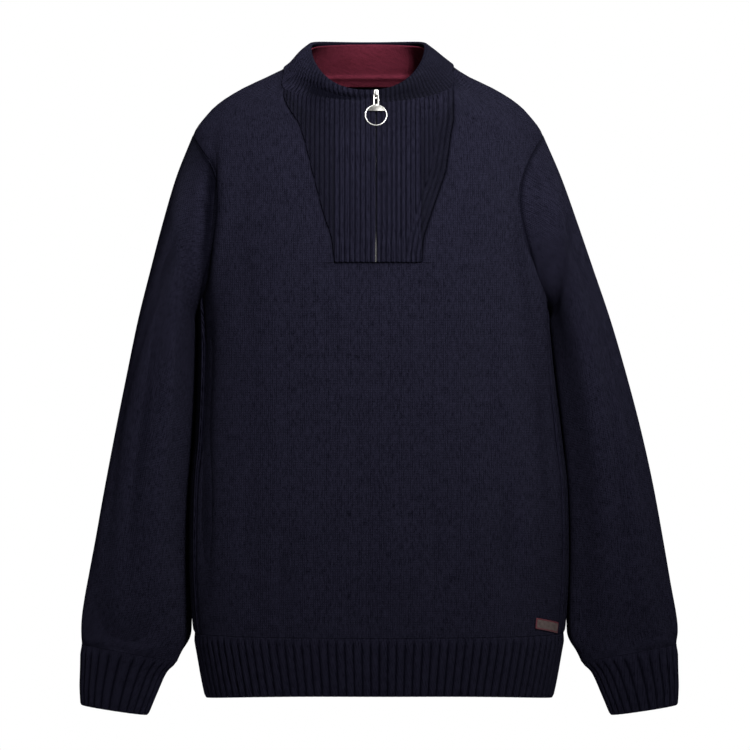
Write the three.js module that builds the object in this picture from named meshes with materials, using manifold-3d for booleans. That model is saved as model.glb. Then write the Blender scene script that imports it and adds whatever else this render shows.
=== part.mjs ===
// Quarter zip sweater, filled out as if worn, in millimetres, +Z up, front towards -Y.
// The origin lies midway between the two shoulder neck points.
import * as THREE from "three";
import { mergeVertices } from "three/addons/utils/BufferGeometryUtils.js";
import Module from "manifold-3d";

const WALL = 3;
const SEAM = 0.4;
const INSERT_GAP = 1.5;
const RIB_HEIGHT = 1.2;
const COARSE = 4;

// Cross-sections of the body from hem to collar crest: half width, front and back depth,
// and how far a ring drops at the front and rises at the back.
const BODY_RINGS = [
  { level: -676, width: 190, front: 112, back: 108, drop: -8, rise: 0 },
  { level: -640, width: 198, front: 116, back: 112, drop: -6, rise: 0 },
  { level: -604, width: 204.5, front: 119, back: 115, drop: 0, rise: 0 },
  { level: -560, width: 208, front: 121, back: 117, drop: 0, rise: 0 },
  { level: -513, width: 209.5, front: 122, back: 117, drop: 0, rise: 0 },
  { level: -440, width: 208, front: 122, back: 115, drop: 0, rise: 0 },
  { level: -391, width: 203, front: 122, back: 114, drop: 0, rise: 0 },
  { level: -321, width: 197.5, front: 123, back: 114, drop: 0, rise: 0 },
  { level: -250, width: 194.5, front: 125, back: 117, drop: 0, rise: 0 },
  { level: -160, width: 199, front: 121, back: 119, drop: 0, rise: 0 },
  { level: -100, width: 199, front: 112, back: 114, drop: 0, rise: 0 },
  { level: -53, width: 194, front: 101, back: 104, drop: 0, rise: 0 },
  { level: -27, width: 176, front: 96.5, back: 97, drop: 12, rise: 2 },
  { level: -13, width: 160, front: 94, back: 93, drop: 20, rise: 3 },
  { level: 0, width: 138, front: 92, back: 87, drop: 28, rise: 4 },
  { level: 13, width: 110, front: 90, back: 79, drop: 35, rise: 6 },
  { level: 27, width: 89, front: 88, back: 71, drop: 43, rise: 8 },
  { level: 40, width: 72, front: 86.5, back: 65, drop: 50, rise: 9 },
  { level: 46, width: 64, front: 86, back: 63, drop: 53, rise: 10 },
];
const ROUNDNESS = 2.3;
const LEAN = { top: -30, run: 420, start: -9, shift: 12.5 };

// Soft folds of the body: place across the front, top and bottom, half width and depth.
const FOLDS = [
  { side: -1, x: 121, top: -140, bottom: -540, half: 17, depth: 4.5 },
  { side: -1, x: 84, top: -330, bottom: -560, half: 15, depth: 2 },
  { side: -1, x: -118, top: -180, bottom: -420, half: 15, depth: -2 },
  { side: -1, x: -64, top: -360, bottom: -590, half: 18, depth: 2.2 },
  { side: 1, x: -96, top: -170, bottom: -520, half: 18, depth: 4 },
  { side: 1, x: 70, top: -240, bottom: -560, half: 20, depth: 3 },
  { side: 1, x: 128, top: -130, bottom: -400, half: 15, depth: 3 },
];

const SHOULDER_TIP = -53;
const UNDERARM = -250;
const UNDERARM_GAP = 1.4;
const ARMHOLE_HALF_DEPTH = 74;
const ARMHOLE_TAPER = 0.12;
const AROUND_SLEEVE = 20;
const SIDE_CORNER = 8;
const SIDE_HALF_DEPTH = 40;
const HEM_TOP = -604;
const HEM_BOTTOM = -676;
const NECK = 14;
const CREST = 46;
const PLAIN_LEVELS = [HEM_TOP, -560, -510, -460, -410, -360, -320, -285, -258];
const SHOULDER_LEVELS = [-40, -26, -12, 0, 8, NECK];
const PANEL_COLUMNS = 8;

// The ribbed insert's two slanted seams, measured across from the middle.
const INSERT_BOTTOM = -197;
const INSERT_SEAMS = [
  { level: INSERT_BOTTOM, left: -45, right: 49 },
  { level: -171, left: -47.5, right: 51 },
  { level: -143, left: -57, right: 60 },
  { level: -97, left: -69, right: 76 },
  { level: -36, left: -85, right: 84.5 },
  { level: 8, left: -101, right: 84.5 },
  { level: NECK, left: -101, right: 84.5 },
];
const COLLAR_RIBS = { left: 20, back: 66, right: 18 };
const INSERT_ROWS = 4;
const COLLAR_ROWS = 4;
const ZIP_HALF_GAP = 1.4;

// Sleeve sections from under the shoulder to the cuff: outer and inner edge, half depth.
const SLEEVE_SECTIONS = [
  { outX: 213, outZ: -98, inX: 198.5, inZ: -258, depth: 72 },
  { outX: 230, outZ: -150, inX: 199, inZ: -270, depth: 73 },
  { outX: 246, outZ: -203, inX: 200, inZ: -284, depth: 73 },
  { outX: 262, outZ: -257, inX: 201.5, inZ: -306, depth: 71 },
  { outX: 276, outZ: -313, inX: 204, inZ: -342, depth: 67 },
  { outX: 290, outZ: -373, inX: 208.5, inZ: -392, depth: 62 },
  { outX: 303, outZ: -435, inX: 213, inZ: -447, depth: 57 },
  { outX: 315, outZ: -500, inX: 215, inZ: -510, depth: 50 },
  { outX: 325, outZ: -560, inX: 214, inZ: -570, depth: 41 },
  { outX: 330, outZ: -602, inX: 215, inZ: -608, depth: 31 },
  { outX: 330, outZ: -624, inX: 224, inZ: -624, depth: 26 },
];
const CUFF_SECTIONS = [
  { outX: 330, outZ: -624.6, inX: 224.4, inZ: -624.6, depth: 25.6 },
  { outX: 330.5, outZ: -644, inX: 237, inZ: -648, depth: 24 },
  { outX: 331, outZ: -664, inX: 248, inZ: -672, depth: 23 },
  { outX: 330, outZ: -685, inX: 258, inZ: -696, depth: 22 },
];
const SLEEVE_BACK_SHIFT = 5;
const CUFF_RIBS = 26;
const HEM_RIBS = 56;
const SIDE_RIBS = 10;

const LABEL = { x: 188.5, level: -593, length: 40, height: 12, tilt: 0.17, from: 0.4, to: 1.7 };
const CHAIN = { half: 0.9, front: -0.5, back: -3, top: 36 };
const TAPE = { near: 0.4, far: 12, front: -3.9, back: -4.7, top: 40 };
const LINING = { front: 14, gap: 1.1, wall: 1.8, bottom: 4, top: 43 };

const SLIDER_LEVEL = 34;
const PLATE = { half: 3.3, height: 11, near: 1.7, far: 2.9 };
const STEM = { half: 0.9, height: 7, near: -0.1 };
const ARCH = { half: 1.2, height: 8, rise: 3.9, hole: 2.9, wall: 1.1, pin: -1.8 };
const RING = { radius: 11.6, wire: 0.9, drop: 23, chord: 5 };
const ARM = { half: 0.8, near: 1.6, thick: 1.5, top: 0.9 };
const PIN_RADIUS = 0.75;
const PULL_TILT = -0.03;

const navy = { color: 0x1b1c29, roughness: 0.95, metalness: 0 };
const burgundy = { color: 0x661c30, roughness: 0.95, metalness: 0 };
const metal = { color: 0xc8c8c3, roughness: 0.3, metalness: 1 };
const leather = { color: 0x4a3630, roughness: 0.6, metalness: 0 };

const clamp = THREE.MathUtils.clamp;
const HALF_TURN = Math.PI;
const QUARTER_TURN = Math.PI / 2;

// Smooth value of one column of a table, at a place between its rows.
function between(table, column, at) {
  const last = table.length - 1;
  const place = clamp(at, table[0].level, table[last].level);
  let row = 0;
  while (row < last - 1 && table[row + 1].level < place) row += 1;
  const slope = (i) => {
    const before = table[Math.max(i - 1, 0)];
    const after = table[Math.min(i + 1, last)];
    return (after[column] - before[column]) / (after.level - before.level);
  };
  const step = table[row + 1].level - table[row].level;
  const t = (place - table[row].level) / step;
  const rise = table[row + 1][column] - table[row][column];
  const bend = slope(row) * step * t * (1 - t) ** 2 - slope(row + 1) * step * t * t * (1 - t);
  return table[row][column] + rise * t * t * (3 - 2 * t) + bend;
}

// Sideways lean of the whole garment at a height.
function lean(z) {
  const t = clamp((LEAN.top - z) / LEAN.run, 0, 1);
  return LEAN.start + LEAN.shift * t * t * (3 - 2 * t);
}

// Zero behind and one ahead, with a smooth change at the sides.
function ahead(cosine) {
  const soft = 0.05;
  return (cosine + Math.sqrt(cosine * cosine + soft)) / 2 - (Math.sqrt(soft) / 2) * (1 - cosine ** 2);
}

const power = (value, exponent) => Math.sign(value) * Math.abs(value) ** exponent;

// How far the folds press a place of the body in.
function foldDepth(x, z, side) {
  return FOLDS.filter((fold) => fold.side === side).reduce((sum, fold) => {
    const across = Math.exp(-(((x - fold.x) / fold.half) ** 2));
    const t = clamp((fold.top - z) / (fold.top - fold.bottom), 0, 1);
    return sum + fold.depth * across * Math.sin(HALF_TURN * t) ** 2;
  }, 0);
}

// Point of the body's surface: turn 0 is the front, a quarter turn the side towards +X.
function bodyPoint(turn, level) {
  const cosine = Math.cos(turn);
  const width = between(BODY_RINGS, "width", level);
  const depth = between(BODY_RINGS, cosine > 0 ? "front" : "back", level);
  const side = cosine > 0 ? -1 : 1;
  const drop = between(BODY_RINGS, "drop", level) * ahead(cosine);
  const z = level - drop + between(BODY_RINGS, "rise", level) * ahead(-cosine);
  const x = width * power(Math.sin(turn), 2 / ROUNDNESS);
  const y = -depth * power(cosine, 2 / ROUNDNESS) - side * foldDepth(x, z, side);
  return new THREE.Vector3(x + lean(z), y, z);
}

// Point and outward normal of the body's surface.
function bodyPlace(turn, level) {
  const across = bodyPoint(turn + 0.02, level).sub(bodyPoint(turn - 0.02, level));
  const up = bodyPoint(turn, level + 1).sub(bodyPoint(turn, level - 1));
  return { point: bodyPoint(turn, level), normal: across.cross(up).normalize() };
}

// Turn of a place of a ring given its distance to the side or its depth.
function turnAtX(x, level) {
  const width = between(BODY_RINGS, "width", level);
  const z = level - between(BODY_RINGS, "drop", level) * 0.8;
  return Math.asin(clamp(power((x - lean(z)) / width, ROUNDNESS / 2), -1, 1));
}
function turnAtY(y, level) {
  const depth = between(BODY_RINGS, y < 0 ? "front" : "back", level);
  return Math.acos(clamp(power(-y / depth, ROUNDNESS / 2), -1, 1));
}

// Turns from one place of a ring to another, evenly spread along the ring.
function spread(from, to, level, count) {
  const fine = 160;
  const lengths = [0];
  for (let i = 1; i <= fine; i += 1) {
    const a = bodyPoint(from + ((to - from) * (i - 1)) / fine, level);
    const b = bodyPoint(from + ((to - from) * i) / fine, level);
    lengths.push(lengths[i - 1] + a.distanceTo(b));
  }
  return Array.from({ length: count + 1 }, (_, k) => {
    const goal = (lengths[fine] * k) / count;
    let i = 1;
    while (i < fine && lengths[i] < goal) i += 1;
    const t = (goal - lengths[i - 1]) / (lengths[i] - lengths[i - 1]);
    return from + ((to - from) * (i - 1 + clamp(t, 0, 1))) / fine;
  });
}

// Closed wall over a grid of places. A missing cell leaves a notch. The inner face
// takes every few columns, so raised ribs stand over a plain inside.
function wallGeometry({ rows, columns, place, has = () => true, loop = false, ...rest }) {
  const { coarse = 1, rib = () => 0, outer = 0, inner = -WALL } = rest;
  const wrap = (c) => (loop ? c % columns : c);
  const positions = [];
  const known = new Map();
  const vertex = (r, c, inside) => {
    const key = `${r},${wrap(c)},${inside}`;
    if (!known.has(key)) {
      const { point, normal } = place(r, wrap(c));
      const height = inside ? inner : outer + rib(r, wrap(c));
      const moved = point.clone().addScaledVector(normal, height);
      known.set(key, positions.length / 3);
      positions.push(moved.x, moved.y, moved.z);
    }
    return known.get(key);
  };
  const present = (r, c) => {
    if (r < 0 || r >= rows) return false;
    if (!loop && (c < 0 || c >= columns)) return false;
    return has(r, (c + columns) % columns);
  };
  const faces = [];
  const rim = (path, from, to) => {
    for (let k = 0; k + 1 < path.length; k += 1) faces.push(path[k + 1], path[k], from);
    faces.push(path[path.length - 1], from, to);
  };
  for (let r = 0; r < rows; r += 1) {
    for (let c = 0; c < columns; c += coarse) {
      if (!present(r, c)) continue;
      const end = c + coarse;
      const span = Array.from({ length: coarse + 1 }, (_, k) => c + k);
      for (let k = c; k < end; k += 1) {
        const [a, b] = [vertex(r, k, false), vertex(r, k + 1, false)];
        const [d, e] = [vertex(r + 1, k + 1, false), vertex(r + 1, k, false)];
        faces.push(a, b, d, a, d, e);
      }
      const [a, b] = [vertex(r, c, true), vertex(r, end, true)];
      const [d, e] = [vertex(r + 1, end, true), vertex(r + 1, c, true)];
      faces.push(a, d, b, a, e, d);
      if (!present(r - 1, c)) rim(span.map((k) => vertex(r, k, false)), a, b);
      if (!present(r + 1, c)) rim(span.map((k) => vertex(r + 1, k, false)).reverse(), d, e);
      if (!present(r, end)) rim([vertex(r, end, false), vertex(r + 1, end, false)], b, d);
      if (!present(r, c - coarse)) rim([vertex(r + 1, c, false), vertex(r, c, false)], e, a);
    }
  }
  const geometry = new THREE.BufferGeometry();
  geometry.setAttribute("position", new THREE.Float32BufferAttribute(positions, 3));
  geometry.setIndex(faces);
  geometry.computeVertexNormals();
  return geometry;
}

const garment = new THREE.Group();

function addPiece(name, geometry, finish, parent = garment) {
  const mesh = new THREE.Mesh(geometry, new THREE.MeshStandardMaterial(finish));
  mesh.name = name;
  parent.add(mesh);
  return mesh;
}

// Alternate columns stand up as ribs.
const ribbed = (r, c) => (c % 2 === 1 ? RIB_HEIGHT : 0);

// Side view of the armhole: depth and level of one of its points, counted from the tip.
function armholePoint(step) {
  const turn = (2 * HALF_TURN * step) / AROUND_SLEEVE;
  const middle = (SHOULDER_TIP + UNDERARM) / 2;
  const taper = 1 + ARMHOLE_TAPER * Math.cos(turn);
  const level = middle + ((SHOULDER_TIP - UNDERARM) / 2) * Math.cos(turn);
  return { y: -ARMHOLE_HALF_DEPTH * Math.sin(turn) * taper, level };
}

// Half depth of the gap between front and back panel at a level.
function sideGap(level) {
  if (level >= SHOULDER_TIP) return SEAM / 2;
  const corner = armholePoint(SIDE_CORNER);
  if (level <= corner.level) {
    const t = clamp((corner.level - level) / 60, 0, 1);
    return -corner.y + (SIDE_HALF_DEPTH + corner.y) * t + SEAM / 2;
  }
  let step = 1;
  while (armholePoint(step).level > level) step += 1;
  const [above, below] = [armholePoint(step - 1), armholePoint(step)];
  const t = (above.level - level) / (above.level - below.level);
  return -(above.y + (below.y - above.y) * t);
}

const armholeLevels = Array.from({ length: SIDE_CORNER }, (_, k) => armholePoint(SIDE_CORNER - k).level);
const lowerArmhole = armholeLevels.filter((level) => level < INSERT_BOTTOM);
const upperArmhole = armholeLevels.filter((level) => level > INSERT_BOTTOM);
const PANEL_LEVELS = [
  ...PLAIN_LEVELS,
  ...lowerArmhole,
  INSERT_BOTTOM,
  ...upperArmhole,
  SHOULDER_TIP,
  ...SHOULDER_LEVELS,
];
const trimmed = (level) => clamp(level, HEM_TOP + SEAM / 2, NECK - SEAM / 2);

// Slanted seam of the insert, straight between the panel's rows.
const seamKnots = PANEL_LEVELS.filter((level) => level >= INSERT_BOTTOM).map((level) => ({
  level,
  left: between(INSERT_SEAMS, "left", level),
  right: between(INSERT_SEAMS, "right", level),
}));
function insertSeam(side, level) {
  let i = 0;
  while (i < seamKnots.length - 2 && seamKnots[i + 1].level < level) i += 1;
  const t = (level - seamKnots[i].level) / (seamKnots[i + 1].level - seamKnots[i].level);
  return seamKnots[i][side] + (seamKnots[i + 1][side] - seamKnots[i][side]) * clamp(t, 0, 1);
}

function addFrontPanel() {
  const columns = 3 * PANEL_COLUMNS;
  const notchRow = PANEL_LEVELS.indexOf(INSERT_BOTTOM);
  const turns = PANEL_LEVELS.map((row) => {
    const level = trimmed(row);
    const edge = turnAtY(-sideGap(row), level);
    const seamLevel = Math.max(row, INSERT_BOTTOM);
    const left = turnAtX(insertSeam("left", seamLevel) - INSERT_GAP, level);
    const right = turnAtX(insertSeam("right", seamLevel) + INSERT_GAP, level);
    return [
      ...spread(-edge, left, level, PANEL_COLUMNS),
      ...spread(left, right, level, PANEL_COLUMNS).slice(1),
      ...spread(right, edge, level, PANEL_COLUMNS).slice(1),
    ];
  });
  const place = (r, c) => bodyPlace(turns[r][c], trimmed(PANEL_LEVELS[r]));
  const has = (r, c) => r < notchRow || c < PANEL_COLUMNS || c >= 2 * PANEL_COLUMNS;
  const rows = PANEL_LEVELS.length - 1;
  addPiece("front_panel", wallGeometry({ rows, columns, place, has }), navy);
}

function addBackPanel() {
  const columns = 2 * PANEL_COLUMNS;
  const turns = PANEL_LEVELS.map((row) => {
    const edge = turnAtY(sideGap(row), trimmed(row));
    return spread(edge, 2 * HALF_TURN - edge, trimmed(row), columns);
  });
  const place = (r, c) => bodyPlace(turns[r][c], trimmed(PANEL_LEVELS[r]));
  addPiece("back_panel", wallGeometry({ rows: PANEL_LEVELS.length - 1, columns, place }), navy);
}

// Ribbed strip under the arm. Its top edge follows the bottom of the armhole.
function addSidePanel(name, side) {
  const columns = 2 * SIDE_RIBS;
  const levels = [...PLAIN_LEVELS, armholePoint(SIDE_CORNER).level];
  const top = levels.length - 1;
  const place = (r, c) => {
    const share = (2 * c) / columns - 1;
    const y = share * (sideGap(levels[r]) - SEAM);
    const level = r === top ? underarmLevel(y) - UNDERARM_GAP : trimmed(levels[r]);
    return bodyPlace(side * turnAtY(side * y, level), level);
  };
  const coarse = COARSE;
  const rib = (r, c) => (r === top ? 0 : ribbed(r, c));
  addPiece(name, wallGeometry({ rows: top, columns, place, rib, coarse }), navy);
}

// Level of the armhole's lower edge at a depth, straight between its points.
function underarmLevel(y) {
  let step = SIDE_CORNER;
  while (step < AROUND_SLEEVE / 2 && -armholePoint(step + 1).y > Math.abs(y)) step += 1;
  const [a, b] = [armholePoint(step), armholePoint(Math.min(step + 1, AROUND_SLEEVE / 2))];
  const run = b.y - a.y || 1;
  const t = clamp((-Math.abs(y) - a.y) / run, 0, 1);
  return a.level + (b.level - a.level) * t;
}

function addHemRib(name, facing) {
  const columns = 2 * HEM_RIBS;
  const levels = [HEM_BOTTOM, -640, HEM_TOP - SEAM / 2];
  const start = facing - QUARTER_TURN;
  const turns = levels.map((level) => {
    const gap = QUARTER_TURN - turnAtY(-SEAM, level);
    return spread(start + gap, start + HALF_TURN - gap, level, columns);
  });
  const place = (r, c) => bodyPlace(turns[r][c], levels[r]);
  const wall = wallGeometry({ rows: 2, columns, place, rib: ribbed, coarse: COARSE });
  addPiece(name, wall, navy);
}

// Collar and front insert, one ribbed piece from zip edge to zip edge round the back.
function addCollar() {
  const { left, back, right } = COLLAR_RIBS;
  const columns = 2 * (left + back + right);
  const [leftEnd, rightStart] = [2 * left, 2 * (left + back)];
  const base = NECK + SEAM;
  const leftCorner = turnAtX(insertSeam("left", NECK), base);
  const rightCorner = turnAtX(insertSeam("right", NECK), base);
  const ringTurns = (level) => {
    const share = (level - base) / (CREST - base);
    const leftSide = leftCorner + share * 0.12;
    const rightSide = rightCorner - share * 0.12;
    const [zipLeft, zipRight] = [-ZIP_HALF_GAP, ZIP_HALF_GAP].map((x) => turnAtX(x, level));
    return [
      ...spread(zipLeft, leftSide, level, 2 * left),
      ...spread(leftSide, rightSide - 2 * HALF_TURN, level, 2 * back).slice(1),
      ...spread(rightSide - 2 * HALF_TURN, zipRight - 2 * HALF_TURN, level, 2 * right).slice(1),
    ];
  };
  const upper = Array.from({ length: COLLAR_ROWS + 1 }, (_, k) => {
    const level = base + ((CREST - base) * k) / COLLAR_ROWS;
    return { level, turns: ringTurns(level) };
  });
  const foot = (c) => {
    const x = bodyPoint(upper[0].turns[c], base).x;
    const side = c <= leftEnd ? "left" : "right";
    let [low, high] = [INSERT_BOTTOM + SEAM, 8];
    for (let i = 0; i < 30; i += 1) {
      const middle = (low + high) / 2;
      if (Math.abs(insertSeam(side, middle)) >= Math.abs(x)) high = middle;
      else low = middle;
    }
    return high;
  };
  const place = (r, c) => {
    if (r >= INSERT_ROWS) {
      const ring = upper[r - INSERT_ROWS];
      return bodyPlace(ring.turns[c], ring.level);
    }
    const x = bodyPoint(upper[0].turns[c], base).x;
    const bottom = foot(c);
    const level = bottom + ((base - bottom) * r) / INSERT_ROWS;
    return bodyPlace(turnAtX(x, level), level);
  };
  const has = (r, c) => r >= INSERT_ROWS || c < leftEnd || c >= rightStart;
  const rows = INSERT_ROWS + COLLAR_ROWS;
  const wall = wallGeometry({ rows, columns, place, has, rib: ribbed, coarse: COARSE });
  wall.index.array.reverse();
  addPiece("collar", wall, navy);
}

function addCollarLining() {
  const columns = 40;
  const rows = 4;
  const front = -(WALL + LINING.gap);
  const rings = Array.from({ length: rows + 1 }, (_, r) => {
    const level = LINING.bottom + ((LINING.top - LINING.bottom) * r) / rows;
    const from = turnAtX(LINING.front, level);
    const to = turnAtX(-LINING.front, level) + 2 * HALF_TURN;
    return { level, turns: spread(from, to, level, columns) };
  });
  const place = (r, c) => bodyPlace(rings[r].turns[c], rings[r].level);
  const wall = wallGeometry({ rows, columns, place, outer: front, inner: front - LINING.wall });
  addPiece("collar_lining", wall, burgundy);
}

// Strip that runs up the middle of the front between two distances from the zip.
function frontStrip(from, to, bottom, top, outer, inner) {
  const rows = 10;
  const place = (r, c) => {
    const level = bottom + ((top - bottom) * r) / rows;
    return bodyPlace(turnAtX(c ? to : from, level), level);
  };
  return wallGeometry({ rows, columns: 1, place, outer, inner });
}

function addZip() {
  const bottom = INSERT_BOTTOM + 1;
  const { near, far, front, back, top } = TAPE;
  addPiece("zip_tape_left", frontStrip(-far, -near, bottom, top, front, back), burgundy);
  addPiece("zip_tape_right", frontStrip(near, far, bottom, top, front, back), burgundy);
  const chain = frontStrip(-CHAIN.half, CHAIN.half, bottom, CHAIN.top, CHAIN.front, CHAIN.back);
  addPiece("zip_chain", chain, metal);
}

// One place of a tube's section: the ends of its long axis, its half depth and a turn.
function tubePlace(section, side, turn) {
  const outerEnd = new THREE.Vector3(side * section.outX + lean(section.outZ), 0, section.outZ);
  const innerEnd = new THREE.Vector3(side * section.inX + lean(section.inZ), 0, section.inZ);
  const half = outerEnd.clone().sub(innerEnd).multiplyScalar(0.5);
  const along = half.clone().normalize();
  const across = power(Math.cos(turn), 0.92);
  const forward = power(Math.sin(turn), 0.92);
  const point = outerEnd.clone().add(innerEnd).multiplyScalar(0.5).addScaledVector(half, across);
  point.y += SLEEVE_BACK_SHIFT * Math.abs(forward) - section.depth * forward;
  const normal = along.multiplyScalar(Math.cos(turn) * section.depth);
  normal.y = -Math.sin(turn) * half.length();
  return { point, normal: normal.normalize() };
}

// Armhole end of a sleeve, on the body's own seam line.
function armholePlace(step, side) {
  const { y, level } = armholePoint(step);
  const body = bodyPoint(side * turnAtY(y, level), level);
  body.x += side * SEAM;
  const middle = new THREE.Vector3(body.x, 0, (SHOULDER_TIP + UNDERARM) / 2);
  const normal = body.clone().sub(middle);
  normal.x = 0;
  return { point: body, normal: normal.normalize() };
}

function addSleeve(name, side) {
  const columns = AROUND_SLEEVE;
  const place = (r, c) => {
    const step = side > 0 ? c : columns - c;
    if (r === 0) return armholePlace(step, side);
    return tubePlace(SLEEVE_SECTIONS[r - 1], side, (2 * HALF_TURN * step) / columns);
  };
  const wall = wallGeometry({ rows: SLEEVE_SECTIONS.length, columns, place, loop: true });
  addPiece(name, wall, navy);
}

function addCuff(name, side) {
  const columns = 2 * CUFF_RIBS;
  const place = (r, c) => {
    const step = side > 0 ? c : columns - c;
    return tubePlace(CUFF_SECTIONS[r], side, (2 * HALF_TURN * step) / columns);
  };
  const rows = CUFF_SECTIONS.length - 1;
  const wall = wallGeometry({ rows, columns, place, loop: true, rib: ribbed, coarse: COARSE });
  addPiece(name, wall, navy);
}

function addLabel() {
  const columns = 4;
  const ring = between(BODY_RINGS, "width", LABEL.level);
  const middle = turnAtX(LABEL.x, LABEL.level);
  const nearby = bodyPoint(middle + 0.01, LABEL.level).distanceTo(bodyPoint(middle, LABEL.level));
  const turnPerLength = 0.01 / Math.max(nearby, ring * 0.001);
  const place = (r, c) => {
    const across = (c / columns - 0.5) * LABEL.length;
    const level = LABEL.level + (r - 0.5) * LABEL.height - across * LABEL.tilt;
    return bodyPlace(middle + across * turnPerLength, level);
  };
  const wall = wallGeometry({ rows: 1, columns, place, outer: LABEL.to, inner: LABEL.from });
  addPiece("label", wall, leather);
}

const wasm = await Module();
wasm.setup();

// A closed geometry as a solid, and a solid as a geometry.
function solidOf(geometry) {
  const bare = geometry.clone().deleteAttribute("normal").deleteAttribute("uv");
  const merged = mergeVertices(bare, 1e-4);
  const triVerts = new Uint32Array(merged.index.array);
  const vertProperties = merged.attributes.position.array;
  return new wasm.Manifold(new wasm.Mesh({ numProp: 3, vertProperties, triVerts }));
}
function geometryOf(solid) {
  const { vertProperties, triVerts } = solid.getMesh();
  const geometry = new THREE.BufferGeometry();
  geometry.setAttribute("position", new THREE.BufferAttribute(vertProperties, 3));
  geometry.setIndex(new THREE.BufferAttribute(triVerts, 1));
  geometry.computeVertexNormals();
  return geometry;
}

function box(width, depth, height, x, y, z) {
  return solidOf(new THREE.BoxGeometry(width, depth, height).translate(x, y, z));
}

// Slider at the top of the zip: a plate with a stem in the slot and an arch for the pull.
function addSlider(parent) {
  const plate = new THREE.Shape();
  const half = PLATE.half;
  const tail = PLATE.height / 2;
  plate.moveTo(-half, tail - 2);
  plate.quadraticCurveTo(-half, tail, 0, tail);
  plate.quadraticCurveTo(half, tail, half, tail - 2);
  plate.lineTo(half * 0.7, -tail);
  plate.lineTo(-half * 0.7, -tail);
  const thickness = PLATE.far - PLATE.near;
  const plateShape = new THREE.ExtrudeGeometry(plate, {
    depth: thickness,
    bevelEnabled: false,
    curveSegments: 5,
  });
  const front = solidOf(plateShape.rotateX(QUARTER_TURN).translate(0, -PLATE.near, 0));
  const stemDepth = PLATE.near - STEM.near + 0.4;
  const stem = box(2 * STEM.half, stemDepth, STEM.height, 0, -STEM.near - stemDepth / 2, 0);
  const archDepth = ARCH.rise + 0.4;
  const archCentre = -PLATE.far - archDepth / 2 + 0.4;
  const arch = box(2 * ARCH.half, archDepth, ARCH.height, 0, archCentre, 0);
  const holeHeight = ARCH.height - 2 * ARCH.wall;
  const hole = box(4 * ARCH.half, ARCH.hole, holeHeight, 0, -PLATE.far - ARCH.hole / 2, 0);
  const slider = front.add(stem).add(arch.subtract(hole));
  addPiece("zip_slider", geometryOf(slider), metal, parent);
}

// Pull: a pin under the arch, a fork of two arms, and a ring with a plain filled segment.
function addPull(parent) {
  const wire = new THREE.TorusGeometry(RING.radius, RING.wire, 8, 30);
  const ring = solidOf(wire.rotateX(QUARTER_TURN).translate(0, 0, -RING.drop));
  const reach = Math.acos(RING.chord / RING.radius);
  const disc = new THREE.Shape().absarc(0, 0, RING.radius, QUARTER_TURN - reach, QUARTER_TURN + reach);
  const plate = new THREE.ExtrudeGeometry(disc, { depth: 1.1, bevelEnabled: false, curveSegments: 8 });
  const segment = solidOf(plate.rotateX(QUARTER_TURN).translate(0, 0.55, -RING.drop));
  const foot = -RING.drop + RING.radius * 0.93;
  const armHeight = ARM.top - foot;
  const arms = [-1, 1].map((side) => {
    const x = side * (ARM.near + ARM.half);
    return box(2 * ARM.half, ARM.thick, armHeight, x, 0, (ARM.top + foot) / 2);
  });
  const pinShape = new THREE.CylinderGeometry(PIN_RADIUS, PIN_RADIUS, 2 * ARM.near + ARM.half, 10);
  const pin = solidOf(pinShape.rotateZ(QUARTER_TURN));
  const pull = arms.reduce((sum, arm) => sum.add(arm), ring.add(segment).add(pin));
  addPiece("zip_pull", geometryOf(pull), metal, parent);
}

// Slider and pull stand on the sloping middle of the collar.
function addHardware() {
  const seat = bodyPlace(turnAtX(0, SLIDER_LEVEL), SLIDER_LEVEL);
  const sliderGroup = new THREE.Group();
  sliderGroup.position.copy(seat.point);
  sliderGroup.rotation.x = -Math.asin(seat.normal.z);
  addSlider(sliderGroup);
  const pullGroup = new THREE.Group();
  pullGroup.position.set(0, -PLATE.far - ARCH.hole / 2, ARCH.pin);
  pullGroup.rotation.x = PULL_TILT;
  addPull(pullGroup);
  sliderGroup.add(pullGroup);
  garment.add(sliderGroup);
}

addFrontPanel();
addBackPanel();
addSidePanel("side_panel_left", -1);
addSidePanel("side_panel_right", 1);
addHemRib("hem_rib_front", 0);
addHemRib("hem_rib_back", HALF_TURN);
addSleeve("sleeve_left", -1);
addSleeve("sleeve_right", 1);
addCuff("cuff_left", -1);
addCuff("cuff_right", 1);
addCollar();
addCollarLining();
addZip();
addHardware();
addLabel();

export default garment;
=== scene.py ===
"""Quarter zip sweater, dressed in knitted shells, a metal zip and a leather label.

Sizes in the tables are millimetres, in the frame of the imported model: +X to the right of the
picture, the front towards -Y and +Z up. Meshes are written in metres.
"""

from __future__ import annotations

import logging
import math
from dataclasses import dataclass, field
from enum import Enum

import bpy
import numpy as np
from mathutils import Matrix, Vector

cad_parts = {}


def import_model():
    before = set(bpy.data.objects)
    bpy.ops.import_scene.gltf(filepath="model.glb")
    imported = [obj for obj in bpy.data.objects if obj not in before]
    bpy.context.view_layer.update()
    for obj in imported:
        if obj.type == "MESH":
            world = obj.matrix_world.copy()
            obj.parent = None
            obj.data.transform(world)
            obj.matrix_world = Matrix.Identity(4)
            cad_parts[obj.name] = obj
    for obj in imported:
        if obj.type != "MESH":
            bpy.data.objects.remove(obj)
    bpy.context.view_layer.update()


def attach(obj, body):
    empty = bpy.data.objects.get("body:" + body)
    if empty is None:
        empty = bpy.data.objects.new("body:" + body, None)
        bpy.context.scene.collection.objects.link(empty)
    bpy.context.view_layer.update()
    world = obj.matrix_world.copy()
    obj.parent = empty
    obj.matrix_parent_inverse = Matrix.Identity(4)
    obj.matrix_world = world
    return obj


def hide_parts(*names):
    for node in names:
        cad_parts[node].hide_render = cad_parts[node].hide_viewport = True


LOG = logging.getLogger("sweater")
MM = 0.001
GARMENT = "garment"
PULL = "pull"
WALL = 3.0
EDGE_ROUND = 1.4
RIB_SAMPLES = 6
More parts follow.
